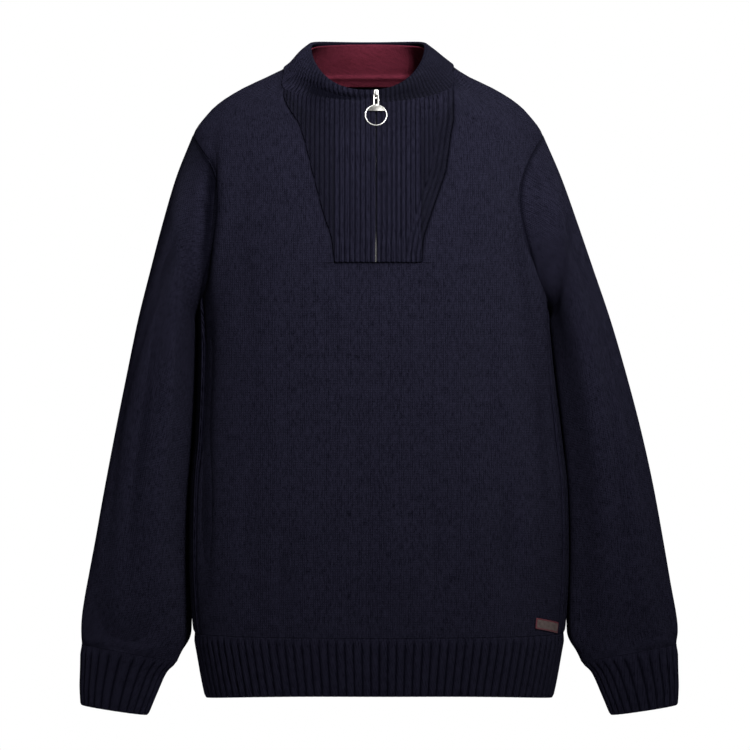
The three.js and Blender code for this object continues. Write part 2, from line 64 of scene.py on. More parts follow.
QUARTER = math.pi / 2


class Facing(Enum):
    """Which half of the body a piece or fold lies on."""

    FRONT = -1
    BACK = 1


class Hand(Enum):
    """Side of the garment in the picture."""

    LEFT = -1
    RIGHT = 1


def power(value: np.ndarray, exponent: float) -> np.ndarray:
    """Signed power of a value."""
    return np.sign(value) * np.abs(value) ** exponent


def smooth(t: np.ndarray) -> np.ndarray:
    """Smooth step of a value held between 0 and 1."""
    t = np.clip(t, 0.0, 1.0)
    return t * t * (3 - 2 * t)


def bell(value: np.ndarray, middle: float, half: float) -> np.ndarray:
    """Bell curve, 1 at the middle and small beyond twice its half width."""
    return np.exp(-(((value - middle) / half) ** 2))


class Track:
    """Smooth curve through the rows of a short table."""

    def __init__(self, places: list[float], values: list[float]) -> None:
        """Keep the rows and work out a slope at each.

        Args:
            places: where the rows are, rising.
            values: the value at each row.
        """
        self.places = np.array(places, float)
        self.values = np.array(values, float)
        last = len(places) - 1
        before = np.maximum(np.arange(last + 1) - 1, 0)
        after = np.minimum(np.arange(last + 1) + 1, last)
        run = self.places[after] - self.places[before]
        self.slopes = (self.values[after] - self.values[before]) / run

    def __call__(self, at: np.ndarray) -> np.ndarray:
        """Value of the curve.

        Args:
            at: places between the first and last row.

        Returns:
            The values there, held at both ends.
        """
        place = np.clip(at, self.places[0], self.places[-1])
        row = np.clip(np.searchsorted(self.places, place) - 1, 0, len(self.places) - 2)
        step = self.places[row + 1] - self.places[row]
        t = (place - self.places[row]) / step
        rise = self.values[row + 1] - self.values[row]
        bend = self.slopes[row] * step * t * (1 - t) ** 2
        bend = bend - self.slopes[row + 1] * step * t * t * (1 - t)
        return self.values[row] + rise * t * t * (3 - 2 * t) + bend


@dataclass(frozen=True)
class Fold:
    """A soft trough or ridge of the body, pressed in by its depth."""

    facing: Facing
    x: float
    top: float
    bottom: float
    half: float
    depth: float
    slant: float = 0.0


BODY_FOLDS = (
    Fold(Facing.FRONT, 121, -140, -540, 17, 4.5),
    Fold(Facing.FRONT, 84, -330, -560, 15, 2.0),
    Fold(Facing.FRONT, -118, -180, -420, 15, -2.0),
    Fold(Facing.FRONT, -64, -360, -590, 18, 2.2),
    Fold(Facing.BACK, -96, -170, -520, 18, 4.0),
    Fold(Facing.BACK, 70, -240, -560, 20, 3.0),
    Fold(Facing.BACK, 128, -130, -400, 15, 3.0),
)

# Finer creases that only the cloth shells show, more uneven in length and spacing.
FINE_FOLDS = (
    Fold(Facing.FRONT, -176, -24, -262, 5.5, 9.0, -0.07),
    Fold(Facing.FRONT, -163, -40, -280, 8, -3.2, -0.07),
    Fold(Facing.FRONT, -190, -60, -250, 7, -2.0, -0.08),
    Fold(Facing.FRONT, -182, -200, -430, 8, 4.0, -0.04),
    Fold(Facing.FRONT, -188, -320, -603, 8, 5.5, 0.0),
    Fold(Facing.FRONT, 145, -44, -340, 8, 3.6, 0.13),
    Fold(Facing.FRONT, 159, -40, -400, 8, -3.6, 0.13),
    Fold(Facing.FRONT, 178, -230, -560, 8, 3.4, 0.06),
    Fold(Facing.FRONT, 108, -230, -480, 9, 2.8, -0.03),
    Fold(Facing.FRONT, 140, -380, -603, 12, 4.2, 0.03),
    Fold(Facing.FRONT, 168, -430, -604, 9, -2.6, 0.02),
    Fold(Facing.FRONT, 62, -420, -602, 13, 2.8, 0.04),
    Fold(Facing.FRONT, 20, -460, -602, 15, -2.2, -0.03),
    Fold(Facing.FRONT, -24, -290, -540, 18, 2.0, 0.02),
    Fold(Facing.FRONT, -96, -450, -603, 12, 4.0, -0.05),
    Fold(Facing.FRONT, -140, -370, -603, 13, 3.6, 0.02),
    Fold(Facing.FRONT, -150, -120, -330, 11, 2.6, 0.06),
    Fold(Facing.FRONT, -62, -203, -330, 9, 2.2, 0.12),
    Fold(Facing.FRONT, 66, -203, -340, 9, 2.2, -0.12),
    Fold(Facing.FRONT, -128, -66, -178, 12, 2.6, -0.25),
    Fold(Facing.FRONT, 126, -60, -170, 13, 2.2, 0.25),
    Fold(Facing.BACK, -176, -50, -240, 7, 4.5, -0.03),
    Fold(Facing.BACK, 172, -50, -240, 7, 4.0, 0.03),
    Fold(Facing.BACK, -150, -130, -360, 12, 3.6, -0.05),
    Fold(Facing.BACK, -40, -330, -602, 15, 3.6, 0.03),
    Fold(Facing.BACK, 12, -120, -330, 14, 2.6, 0.02),
    Fold(Facing.BACK, 104, -420, -602, 12, 4.2, -0.03),
    Fold(Facing.BACK, 40, -460, -603, 10, 3.0, 0.05),
    Fold(Facing.BACK, -120, -430, -602, 13, 4.0, 0.0),
    Fold(Facing.BACK, 150, -300, -560, 10, -2.4, 0.04),
)


@dataclass
class BodyForm:
    """The filled-out body as a stack of rings that narrows into the collar."""

    roundness: float = 2.3
    lean_top: float = -30.0
    lean_run: float = 420.0
    lean_start: float = -9.0
    lean_shift: float = 12.5
    levels: tuple = (-676, -640, -604, -560, -513, -440, -391, -321, -250, -160)
    upper: tuple = (-100, -53, -27, -13, 0, 13, 27, 40, 46)
    tracks: dict = field(default_factory=dict)

    def __post_init__(self) -> None:
        """Turn the columns of the ring table into smooth tracks."""
        rows = [*self.levels, *self.upper]
        columns = {
            "width": (190, 198, 204.5, 208, 209.5, 208, 203, 197.5, 194.5, 199,
                      199, 194, 176, 160, 138, 110, 89, 72, 64),
            "front": (112, 116, 119, 121, 122, 122, 122, 123, 125, 121,
                      112, 101, 96.5, 94, 92, 90, 88, 86.5, 86),
            "back": (108, 112, 115, 117, 117, 115, 114, 114, 117, 119,
                     114, 104, 97, 93, 87, 79, 71, 65, 63),
            "drop": (-8, -6, 0, 0, 0, 0, 0, 0, 0, 0, 0, 0, 12, 20, 28, 35, 43, 50, 53),
            "rise": (0, 0, 0, 0, 0, 0, 0, 0, 0, 0, 0, 0, 2, 3, 4, 6, 8, 9, 10),
        }
        for name, values in columns.items():
            self.tracks[name] = Track(rows, list(values))

    def lean(self, z: np.ndarray) -> np.ndarray:
        """Sideways lean of the garment at a height."""
        return self.lean_start + self.lean_shift * smooth((self.lean_top - z) / self.lean_run)

    @staticmethod
    def ahead(cosine: np.ndarray) -> np.ndarray:
        """Zero behind and one ahead, changing smoothly at the sides."""
        soft = 0.05
        root = np.sqrt(cosine * cosine + soft)
        return (cosine + root) / 2 - (math.sqrt(soft) / 2) * (1 - cosine ** 2)

    @staticmethod
    def press(x: np.ndarray, z: np.ndarray, front: np.ndarray, folds: tuple) -> np.ndarray:
        """How far folds press places in.

        Args:
            x: place across.
            z: height.
            front: true where the place is on the front.
            folds: the folds to add up.

        Returns:
            The depth in millimetres, inwards.
        """
        total = np.zeros_like(x)
        for fold in folds:
            middle = fold.x + fold.slant * (fold.top - z)
            across = np.exp(-(((x - middle) / fold.half) ** 2))
            t = np.clip((fold.top - z) / (fold.top - fold.bottom), 0, 1)
            side = front if fold.facing is Facing.FRONT else ~front
            total += np.where(side, fold.depth * across * np.sin(math.pi * t) ** 2, 0)
        return total

    def point(self, turn: np.ndarray, level: np.ndarray) -> np.ndarray:
        """Points of the surface.

        Args:
            turn: 0 at the front, a quarter turn at the right side.
            level: height of the ring at its sides.

        Returns:
            An array of points in millimetres.
        """
        turn, level = np.broadcast_arrays(np.asarray(turn, float), np.asarray(level, float))
        cosine = np.cos(turn)
        front = cosine > 0
        width = self.tracks["width"](level)
        depth = np.where(front, self.tracks["front"](level), self.tracks["back"](level))
        z = level - self.tracks["drop"](level) * self.ahead(cosine)
        z = z + self.tracks["rise"](level) * self.ahead(-cosine)
        x = width * power(np.sin(turn), 2 / self.roundness)
        y = -depth * power(cosine, 2 / self.roundness)
        y = y + np.where(front, 1, -1) * self.press(x, z, front, BODY_FOLDS)
        return np.stack([x + self.lean(z), y, z], axis=-1)

    def normal(self, turn: np.ndarray, level: np.ndarray) -> np.ndarray:
        """Outward unit normals of the surface at the same places."""
        across = self.point(turn + 0.02, level) - self.point(turn - 0.02, level)
        up = self.point(turn, level + 1.0) - self.point(turn, level - 1.0)
        cross = np.cross(across, up)
        return cross / np.linalg.norm(cross, axis=-1, keepdims=True)

    def turn_at_x(self, x: np.ndarray, level: np.ndarray) -> np.ndarray:
        """Turn on the front half of the ring where it reaches a distance across."""
        z = level - self.tracks["drop"](level) * 0.8
        share = power((x - self.lean(z)) / self.tracks["width"](level), self.roundness / 2)
        return np.arcsin(np.clip(share, -1, 1))

    def turn_at_y(self, y: float, level: float) -> float:
        """Turn on the right half of the ring where it reaches a depth."""
        depth = self.tracks["front" if y < 0 else "back"](level)
        return float(np.arccos(np.clip(power(-y / depth, self.roundness / 2), -1, 1)))

    def spread(self, start: float, end: float, level: float, shares: np.ndarray) -> np.ndarray:
        """Turns at shares of the way along the ring.

        Args:
            start: first turn.
            end: last turn.
            level: the ring.
            shares: from 0 to 1, rising.

        Returns:
            The turn at each share of the arc's length.
        """
        turns = np.linspace(start, end, 241)
        points = self.point(turns, level)
        steps = np.linalg.norm(np.diff(points, axis=0), axis=1)
        along = np.concatenate([[0], np.cumsum(steps)])
        return np.interp(shares * along[-1], along, turns)


FORM = BodyForm()


def rounding(distance: np.ndarray) -> np.ndarray:
    """How far a wall's face draws in near a free edge.

    Args:
        distance: millimetres to the edge.

    Returns:
        Millimetres to draw in, so that the edge is round.
    """
    t = np.clip(1 - distance / EDGE_ROUND, 0, 1)
    return 0.9 * EDGE_ROUND * (1 - np.sqrt(np.clip(1 - t * t, 0, 1)))


def even(count: int, length: float) -> np.ndarray:
    """Shares from 0 to 1 with a few close steps at both ends for rounded edges.

    Args:
        count: even steps in between.
        length: the length that the shares cover, in millimetres.

    Returns:
        Rising shares.
    """
    close = np.array([0, 0.15, 0.5, 1.0]) * EDGE_ROUND / length
    return np.unique(np.concatenate([close, np.linspace(0, 1, count + 1)[1:-1], 1 - close]))


@dataclass
class Cloth:
    """A grid of points that becomes a closed knitted wall."""

    points: np.ndarray
    normals: np.ndarray
    across: np.ndarray
    along: np.ndarray
    raised: np.ndarray
    drawn: np.ndarray
    present: np.ndarray
    loop: bool = False
    wall: float = WALL
    offset: float = 0.0
    # gutter: painted shade per point, darkening the knit in rib grooves, along seams, in creases
    # and hollows
    gutter: np.ndarray | None = None

    def mesh(self, name: str) -> bpy.types.Mesh:
        """Build the wall.

        Args:
            name: name of the mesh.

        Returns:
            A closed mesh with a UV map in metres, across and along the knit.
        """
        rows, columns = self.points.shape[:2]
        top = self.offset + self.raised - self.drawn
        low = self.offset - self.wall + np.minimum(self.drawn, self.wall / 2)
        outer = self.points + self.normals * top[..., None]
        inner = self.points + self.normals * low[..., None]
        cells = columns if self.loop else columns - 1
        ids = np.arange(rows * columns).reshape(rows, columns)
        behind = ids + rows * columns
        right = (np.arange(cells) + 1) % columns
        r, c = np.nonzero(self.present[: rows - 1, :cells])
        d = right[c]
        faces = [
            np.stack([ids[r, c], ids[r, d], ids[r + 1, d], ids[r + 1, c]], 1),
            np.stack([behind[r, c], behind[r + 1, c], behind[r + 1, d], behind[r, d]], 1),
        ]
        uv_at = [(r, c), (r, c + 1), (r + 1, c + 1), (r + 1, c)]
        turned = [uv_at[0], uv_at[3], uv_at[2], uv_at[1]]
        uvs = [self._uv(uv_at), self._uv(turned)]
        has = np.zeros((rows + 1, cells + 2), bool)
        has[1:rows, 1 : cells + 1] = self.present[: rows - 1, :cells]
        if self.loop:
            has[:, 0], has[:, -1] = has[:, cells], has[:, 1]
        sides = [
            (~has[0 : rows - 1, 1 : cells + 1], (0, 0), (0, 1)),
            (~has[2 : rows + 1, 1 : cells + 1], (1, 1), (1, 0)),
            (~has[1:rows, 2 : cells + 2], (0, 1), (1, 1)),
            (~has[1:rows, 0:cells], (1, 0), (0, 0)),
        ]
        here = has[1:rows, 1 : cells + 1]
        for missing, a, b in sides:
            p, q = np.nonzero(here & missing)
            first = (p + a[0], (q + a[1]) % columns)
            second = (p + b[0], (q + b[1]) % columns)
            rim = [ids[second], ids[first], behind[first], behind[second]]
            faces.append(np.stack(rim, 1))
            at_a, at_b = (p + a[0], q + a[1]), (p + b[0], q + b[1])
            uvs.append(self._uv([at_b, at_a, at_a, at_b]))
        quads = np.concatenate(faces)
        used, flat = np.unique(quads, return_inverse=True)
        vertices = np.concatenate([outer.reshape(-1, 3), inner.reshape(-1, 3)])[used] * MM
        mesh = bpy.data.meshes.new(name)
        mesh.vertices.add(len(vertices))
        mesh.vertices.foreach_set("co", vertices.ravel())
        mesh.loops.add(quads.size)
        mesh.loops.foreach_set("vertex_index", flat.ravel().astype(np.int32))
        mesh.polygons.add(len(quads))
        mesh.polygons.foreach_set("loop_start", np.arange(0, quads.size, 4, dtype=np.int32))
        mesh.polygons.foreach_set("use_smooth", np.ones(len(quads), bool))
        layer = mesh.uv_layers.new(name="knit")
        layer.data.foreach_set("uv", (np.concatenate(uvs) * MM).ravel())
        mesh.update(calc_edges=True)
        mesh.validate()
        # The gutter attribute carries the painted shade that darkens the knit's colour.
        deep = np.zeros(rows * columns) if self.gutter is None else self.gutter.ravel()
        shade = mesh.attributes.new("gutter", "FLOAT", "POINT")
        shade.data.foreach_set("value", np.concatenate([deep, deep])[used].astype(np.float32))
        return mesh

    def _uv(self, corners: list) -> np.ndarray:
        """Across and along values of four grid corners for many cells."""
        pairs = [np.stack([self.across[i], self.along[i]], -1) for i in corners]
        return np.stack(pairs, 1).reshape(-1, 2)


def knit_coordinates(points: np.ndarray, loop: bool, middle: int | None) -> tuple:
    """Distances across and along a grid for its knit pattern.

    Args:
        points: the grid.
        loop: whether the last column joins the first.
        middle: the column that gets distance 0, or None for the first.

    Returns:
        Two arrays, with one more column than the grid on a loop.
    """
    closed = np.concatenate([points, points[:, :1]], 1) if loop else points
    steps = np.linalg.norm(np.diff(closed, axis=1), axis=2)
    across = np.concatenate([np.zeros((len(points), 1)), np.cumsum(steps, 1)], 1)
    if middle is not None:
        across = across - across[:, middle : middle + 1]
    rises = np.linalg.norm(np.diff(closed, axis=0), axis=2)
    along = np.concatenate([np.zeros((1, closed.shape[1])), np.cumsum(rises, 0)], 0)
    return across, along


def rib_profile(share: np.ndarray, height: float) -> np.ndarray:
    """Height of a rounded rib with a narrow gutter.

    Args:
        share: place across in ribs; whole numbers are gutters.
        height: height of the crest.

    Returns:
        The height at each place.
    """
    part = np.abs(2 * (share - np.floor(share)) - 1)
    return height * (1 - part ** 3.8)


def grid_normals(points: np.ndarray, loop: bool) -> np.ndarray:
    """Outward normals of a tube's grid, whose columns run round it."""
    if loop:
        across = np.roll(points, -1, 1) - np.roll(points, 1, 1)
    else:
        across = np.gradient(points, axis=1)
    up = np.gradient(points, axis=0)
    normals = np.cross(across, up)
    normals /= np.linalg.norm(normals, axis=-1, keepdims=True) + 1e-9
    outwards = points - points.mean(axis=1, keepdims=True)
    return normals if (normals * outwards).sum() > 0 else -normals


class Sock:
    """A value inside a material, with Python's operators as Math nodes."""

    def __init__(self, sheet: "NodeSheet", socket: bpy.types.NodeSocket | float) -> None:
        """Wrap a socket or a plain number."""
        self.sheet = sheet
        self.socket = socket

    def _math(self, operation: str, *others: object) -> "Sock":
        """Add one Math node."""
        inputs = {i: value for i, value in enumerate((self, *others))}
        return self.sheet.add("ShaderNodeMath", inputs, operation=operation)

    def __add__(self, other: object) -> "Sock":
        """Sum."""
        return self._math("ADD", other)

    def __radd__(self, other: object) -> "Sock":
        """Sum with a number in front."""
        return self._math("ADD", other)

    def __mul__(self, other: object) -> "Sock":
        """Product."""
        return self._math("MULTIPLY", other)

    def __rmul__(self, other: object) -> "Sock":
        """Product with a number in front."""
        return self._math("MULTIPLY", other)

    def __sub__(self, other: object) -> "Sock":
        """Difference."""
        return self._math("SUBTRACT", other)

    def __rsub__(self, other: float) -> "Sock":
        """Difference from a number."""
        return self * -1.0 + other

    def __truediv__(self, other: object) -> "Sock":
        """Quotient."""
        return self._math("DIVIDE", other)

    def __pow__(self, other: object) -> "Sock":
        """Power."""
        return self._math("POWER", other)

    def fraction(self) -> "Sock":
        """Part after the point."""
        return self._math("FRACT")

    def size(self) -> "Sock":
        """Value without its sign."""
        return self._math("ABSOLUTE")

    def cosine(self) -> "Sock":
        """Cosine."""
        return self._math("COSINE")

    def above(self, other: float) -> "Sock":
        """One where the value is greater."""
        return self._math("GREATER_THAN", other)

    def clamped(self) -> "Sock":
        """Value held between 0 and 1."""
        return self.sheet.add("ShaderNodeClamp", {0: self})


class NodeSheet:
    """The node tree of one material."""

    def __init__(self, name: str) -> None:
        """Start a material with an empty tree."""
        self.material = bpy.data.materials.new(name)
        self.material.use_nodes = True
        self.tree = self.material.node_tree
        self.tree.nodes.clear()

    def add(self, kind: str, inputs: dict, output: int | str = 0, **settings: object) -> Sock:
        """Add one node.

        Args:
            kind: the node's type.
            inputs: value or Sock for each input, by place or name.
            output: the output to return.
            **settings: properties set before the inputs.

        Returns:
            The chosen output.
        """
        node = self.tree.nodes.new(kind)
        for key, value in settings.items():
            setattr(node, key, value)
        for key, value in inputs.items():
            if isinstance(value, Sock) and not isinstance(value.socket, float):
                self.tree.links.new(value.socket, node.inputs[key])
            else:
                node.inputs[key].default_value = value
        return Sock(self, node.outputs[output])

    def noise(self, vector: Sock, scale: float, detail: float = 3.0) -> Sock:
        """Noise value over a vector."""
        inputs = {"Vector": vector, "Scale": scale, "Detail": detail}
        return self.add("ShaderNodeTexNoise", inputs, "Fac")

    def mix(self, factor: Sock, low: tuple, high: tuple) -> Sock:
        """Colour between two colours."""
        inputs = {0: factor, 6: (*low, 1.0), 7: (*high, 1.0)}
        return self.add("ShaderNodeMix", inputs, 2, data_type="RGBA")

    def shade(self, colour: Sock, roughness: Sock, height: Sock, depth: float,
              constants: dict) -> bpy.types.Material:
        """Finish the material.

        Args:
            colour: base colour.
            roughness: roughness.
            height: height for the bump.
            depth: size of the bump in metres.
            constants: values set on the shader's own sockets.

        Returns:
            The material.
        """
        bump = self.add("ShaderNodeBump", {"Height": height, "Distance": depth, "Strength": 1.0})
        inputs = {"Base Color": colour, "Roughness": roughness, "Normal": bump, **constants}
        shader = self.add("ShaderNodeBsdfPrincipled", inputs)
        self.add_output(shader)
        return self.material

    def add_output(self, shader: Sock) -> None:
        """Link a shader to the material's output."""
        node = self.tree.nodes.new("ShaderNodeOutputMaterial")
        self.tree.links.new(shader.socket, node.inputs["Surface"])


@dataclass(frozen=True)
class KnitFinish:
    """Wool knit with stitches at real size, softly mottled and fuzzy, darkened by the painted
    shade in each piece's gutter attribute.
    """

    name: str
    dark: tuple
    light: tuple
    wale: float = 2.4
    course: float = 1.9
    depth: float = 0.0009
    sheen: float = 0.004
    # Share by which the gutter attribute's painted shade darkens the colour.
    gutter_shade: float = 0.8
    sheen_tint: tuple = (0.42, 0.44, 0.62)

    def build(self) -> bpy.types.Material:
        """Make the material from the piece's own UV map and the painted shade of its gutter
        attribute.
        """
        sheet = NodeSheet(self.name)
        uv = sheet.add("ShaderNodeUVMap", {}, "UV", uv_map="knit")
        node = sheet.add("ShaderNodeSeparateXYZ", {0: uv}, 0).socket.node
        across, along = Sock(sheet, node.outputs[0]), Sock(sheet, node.outputs[1])
        coordinates = sheet.add("ShaderNodeTexCoord", {}, "Object")
        wobble = (sheet.noise(uv, 180.0, 3.0) - 0.5) * 0.3
        wale = across / (self.wale * MM) + wobble
        part = (wale.fraction() * 2.0 - 1.0).size()
        leg = 1.0 - (part * 2.0 - 1.0).size() ** 2.2
        phase = along / (self.course * MM) + part * 0.85 + wobble
        loop = (phase * (2 * math.pi)).cosine() * 0.5 + 0.5
        stitch = leg * (loop * 0.5 + 0.5) * (1.0 - part ** 5.0)
        mottle = sheet.noise(coordinates, 55.0, 5.0)
        speckle = sheet.noise(coordinates, 620.0, 3.0)
        drawn = sheet.add("ShaderNodeMapping", {0: uv, 3: (1.0, 0.2, 1.0)})
        streak = sheet.noise(drawn, 560.0, 2.0)
        fuzz = sheet.noise(coordinates, 2200.0, 2.0)
        # Painted shade: the gutter attribute darkens the colour in grooves, along seams, in
        # creases and hollows.
        gutter = sheet.add("ShaderNodeAttribute", {}, "Fac", attribute_name="gutter")
        shade = stitch * 1.4 + (mottle - 0.5) * 0.4 + (speckle - 0.5) * 1.3
        shade = shade + (streak - 0.5) * 1.6 + fuzz * 0.2
        shade = (shade - 0.05).clamped() * (1.0 - gutter.clamped() * self.gutter_shade)
        colour = sheet.mix(shade, self.dark, self.light)
        roughness = 0.97 - stitch * 0.08
        height = stitch + speckle * 0.4 + streak * 0.3 + fuzz * 0.25
        constants = {
            "Sheen Weight": self.sheen,
            "Sheen Roughness": 0.5,
            "Sheen Tint": (*self.sheen_tint, 1.0),
            "Specular IOR Level": 0.0,
        }
        return sheet.shade(colour, roughness, height, self.depth, constants)


@dataclass(frozen=True)
class MetalFinish:
    """Plated zip metal with faint scratches and darker low spots."""

    name: str
    bright: tuple
    dull: tuple
    roughness: float = 0.24

    def build(self) -> bpy.types.Material:
        """Make the material on Object coordinates."""
        sheet = NodeSheet(self.name)
        coordinates = sheet.add("ShaderNodeTexCoord", {}, "Object")
        stretched = sheet.add("ShaderNodeMapping", {0: coordinates, 3: (900.0, 300.0, 4000.0)})
        scratch = sheet.noise(stretched, 1.0, 4.0)
        tarnish = sheet.noise(coordinates, 420.0, 3.0)
        colour = sheet.mix((tarnish * 1.5 - 0.25).clamped(), self.bright, self.dull)
        roughness = scratch * 0.22 + (self.roughness - 0.08)
        return sheet.shade(colour, roughness, scratch, 0.00002, {"Metallic": 1.0})


@dataclass(frozen=True)
class TapeFinish:
    """Tightly woven zip tape."""

    name: str
    dark: tuple
    light: tuple
    thread: float = 0.6

    def build(self) -> bpy.types.Material:
        """Make the material from the piece's own UV map."""
        sheet = NodeSheet(self.name)
        uv = sheet.add("ShaderNodeUVMap", {}, "UV", uv_map="knit")
        node = sheet.add("ShaderNodeSeparateXYZ", {0: uv}, 0).socket.node
        across, along = Sock(sheet, node.outputs[0]), Sock(sheet, node.outputs[1])
        turn = 2 * math.pi / (self.thread * MM)
        weave = ((across + along) * turn).cosine() * 0.5 + 0.5
        grain = sheet.noise(uv, 900.0)
        colour = sheet.mix((weave * 0.6 + grain * 0.4).clamped(), self.dark, self.light)
        return sheet.shade(colour, 0.9 - weave * 0.1, weave, 0.0001, {"Specular IOR Level": 0.05})


@dataclass(frozen=True)
class LeatherFinish:
    """Small leather patch with a pressed, darker border and worn middle."""

    name: str
    face: tuple
    worn: tuple
    border: tuple
    length: float
    height: float
    margin: float = 1.5

    def build(self) -> bpy.types.Material:
        """Make the material from the patch's own UV map."""
        sheet = NodeSheet(self.name)
        uv = sheet.add("ShaderNodeUVMap", {}, "UV", uv_map="knit")
        node = sheet.add("ShaderNodeSeparateXYZ", {0: uv}, 0).socket.node
        across, along = Sock(sheet, node.outputs[0]), Sock(sheet, node.outputs[1])
        end = (across - self.length * MM / 2).size().above((self.length / 2 - self.margin) * MM)
        rail = (along - self.height * MM / 2).size().above((self.height / 2 - self.margin) * MM)
        edge = (end + rail).clamped()
        grain = sheet.noise(uv, 2600.0, 4.0)
        blotch = sheet.noise(uv, 240.0, 3.0)
        middle = sheet.mix((blotch * 1.6 - 0.3).clamped(), self.face, self.worn)
        inputs = {0: edge, 6: middle, 7: (*self.border, 1.0)}
        colour = sheet.add("ShaderNodeMix", inputs, 2, data_type="RGBA")
        roughness = 0.62 - grain * 0.18
        height = grain * 0.4 - edge * 0.3
        return sheet.shade(colour, roughness, height, 0.00018, {"Specular IOR Level": 0.1})


@dataclass(frozen=True)
class PlainFinish:
    """Studio surface with a faint unevenness."""

    name: str
    low: tuple
    high: tuple

    def build(self) -> bpy.types.Material:
        """Make the material on Object coordinates."""
        sheet = NodeSheet(self.name)
        coordinates = sheet.add("ShaderNodeTexCoord", {}, "Object")
        cloud = sheet.noise(coordinates, 2.0)
        colour = sheet.mix(cloud, self.low, self.high)
        return sheet.shade(colour, 0.8 + cloud * 0.1, cloud, 0.0001, {})


JERSEY = KnitFinish("navy_jersey", (0.0002, 0.0002, 0.0006), (0.0051, 0.0049, 0.0092))
RIB = KnitFinish("navy_rib", (0.0002, 0.0002, 0.0006), (0.0048, 0.0046, 0.0087), 2.8, 2.0)
LINING_KNIT = KnitFinish(
    "burgundy_knit", (0.011, 0.0013, 0.0027), (0.052, 0.0082, 0.0145), 2.2, 1.6,
    sheen_tint=(0.8, 0.4, 0.5),
)
METAL = MetalFinish("zip_metal", (0.19, 0.187, 0.18), (0.085, 0.083, 0.078))
# Darker, rougher copy of the zip metal: painted shade, so the slider plate between the pull's
# arms reads as the shaded slot.
SLIDER_METAL_PAINTED_SHADE = MetalFinish("slider_metal_painted_shade", (0.12, 0.118, 0.112), (0.05, 0.048, 0.045), 0.34)
TAPE = TapeFinish("zip_tape", (0.003, 0.003, 0.006), (0.012, 0.012, 0.02))


@dataclass
class Wardrobe:
    """Materials, made once and shared by the pieces."""

    made: dict = field(default_factory=dict)

    def get(self, finish: object) -> bpy.types.Material:
        """Material of a finish."""
        if finish.name not in self.made:
            self.made[finish.name] = finish.build()
        return self.made[finish.name]


WARDROBE = Wardrobe()


def put_on(name: str, mesh: bpy.types.Mesh, finish: object, nodes: tuple,
           body: str = GARMENT) -> bpy.types.Object:
    """Add a finished piece to the scene.

    Args:
        name: the piece's name.
        mesh: its mesh, in place.
        finish: its finish.
        nodes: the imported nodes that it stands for.
        body: the body that it rides on.

    Returns:
        The new object.
    """
    piece = bpy.data.objects.new(name, mesh)
    bpy.context.collection.objects.link(piece)
    mesh.materials.append(WARDROBE.get(finish))
    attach(piece, body)
    if nodes:
        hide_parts(*nodes)
    LOG.info("%s: %d faces", name, len(mesh.polygons))
    return piece


@dataclass
class Armhole:
    """Side view of the armhole, an egg between shoulder tip and underarm."""

    tip: float = -53.0
    underarm: float = -250.0
    half_depth: float = 74.0
    taper: float = 0.12
    corner_turn: float = 0.8 * math.pi

    def side(self, turn: np.ndarray) -> tuple:
        """Depth and level of places round the armhole, from the tip forwards."""
        middle, half = (self.tip + self.underarm) / 2, (self.tip - self.underarm) / 2
        y = -self.half_depth * np.sin(turn) * (1 + self.taper * np.cos(turn))
        return y, middle + half * np.cos(turn)

    def gap(self, level: float) -> float:
        """Half depth of the gap between front and back panel at a level."""
        if level >= self.tip:
            return 0.15
        corner_y, corner_level = self.side(self.corner_turn)
        if level <= corner_level:
            share = min(max((corner_level - level) / 60, 0), 1)
            return float(-corner_y + (40.0 + corner_y) * share + 0.15)
        middle, half = (self.tip + self.underarm) / 2, (self.tip - self.underarm) / 2
        turn = math.acos(min(max((level - middle) / half, -1), 1))
        return float(-self.side(turn)[0])


ARMHOLE = Armhole()
HEM_TOP, HEM_BOTTOM, NECK, CREST = -604.0, -676.0, 14.0, 46.0
INSERT_BOTTOM = -197.0
NECK_RISE = 9.0


@dataclass
class InsertSeam:
    """The two slanted seams of the ribbed insert."""

    levels: tuple = (-197, -171, -143, -97, -36, 8, 14)
    left: tuple = (-45, -47.5, -57, -69, -85, -101, -101)
    right: tuple = (49, 51, 60, 76, 84.5, 84.5, 84.5)

    def at(self, hand: Hand, level: np.ndarray) -> np.ndarray:
        """Distance across of one seam at a level."""
        values = self.left if hand is Hand.LEFT else self.right
        return np.interp(level, self.levels, values)


SEAM = InsertSeam()


def neck_level(turn: np.ndarray) -> np.ndarray:
    """Level of the neck seam, which rises from the insert's corners to the sides and back.

    Args:
        turn: turn round the body.

    Returns:
        The seam's level there.
    """
    away = np.abs(np.angle(np.exp(1j * np.asarray(turn))))
    return NECK + NECK_RISE * smooth((away - 0.93) / 0.45)


def collar_valley(points: np.ndarray, rows: np.ndarray) -> np.ndarray:
    """Depth of the valley below the rolled rim, deepest on the left of the front."""
    ahead = points[..., 1] < 0
    left = 6.5 * bell(points[..., 0], -46, 34)
    right = 2.0 * bell(points[..., 0], 40, 30)
    return np.where(ahead, left + right, 0) * bell(rows, 27, 6.5)


def insert_hollow(points: np.ndarray) -> np.ndarray:
    """Share of the hollow in the insert's upper left, under the rolled rim."""
    depth = bell(points[..., 0], -66, 17) * bell(points[..., 2], -14, 23)
    return np.where(points[..., 1] < 0, depth, 0)


def collar_tuck(points: np.ndarray, rows: np.ndarray) -> np.ndarray:
    """How far the neck is drawn in, in millimetres."""
    side = bell(points[..., 0], -95, 22) * bell(rows, 24, 10)
    return 3.5 * side + collar_valley(points, rows)


def stretched_rows(levels: np.ndarray, turns: np.ndarray) -> np.ndarray:
    """Levels of a panel's grid, with the shoulder rows drawn up to the neck seam."""
    rows = levels[:, None] + np.zeros_like(turns)
    share = np.clip((rows - ARMHOLE.tip) / (NECK - ARMHOLE.tip), 0, 1)
    return rows + share * (neck_level(turns) - NECK)


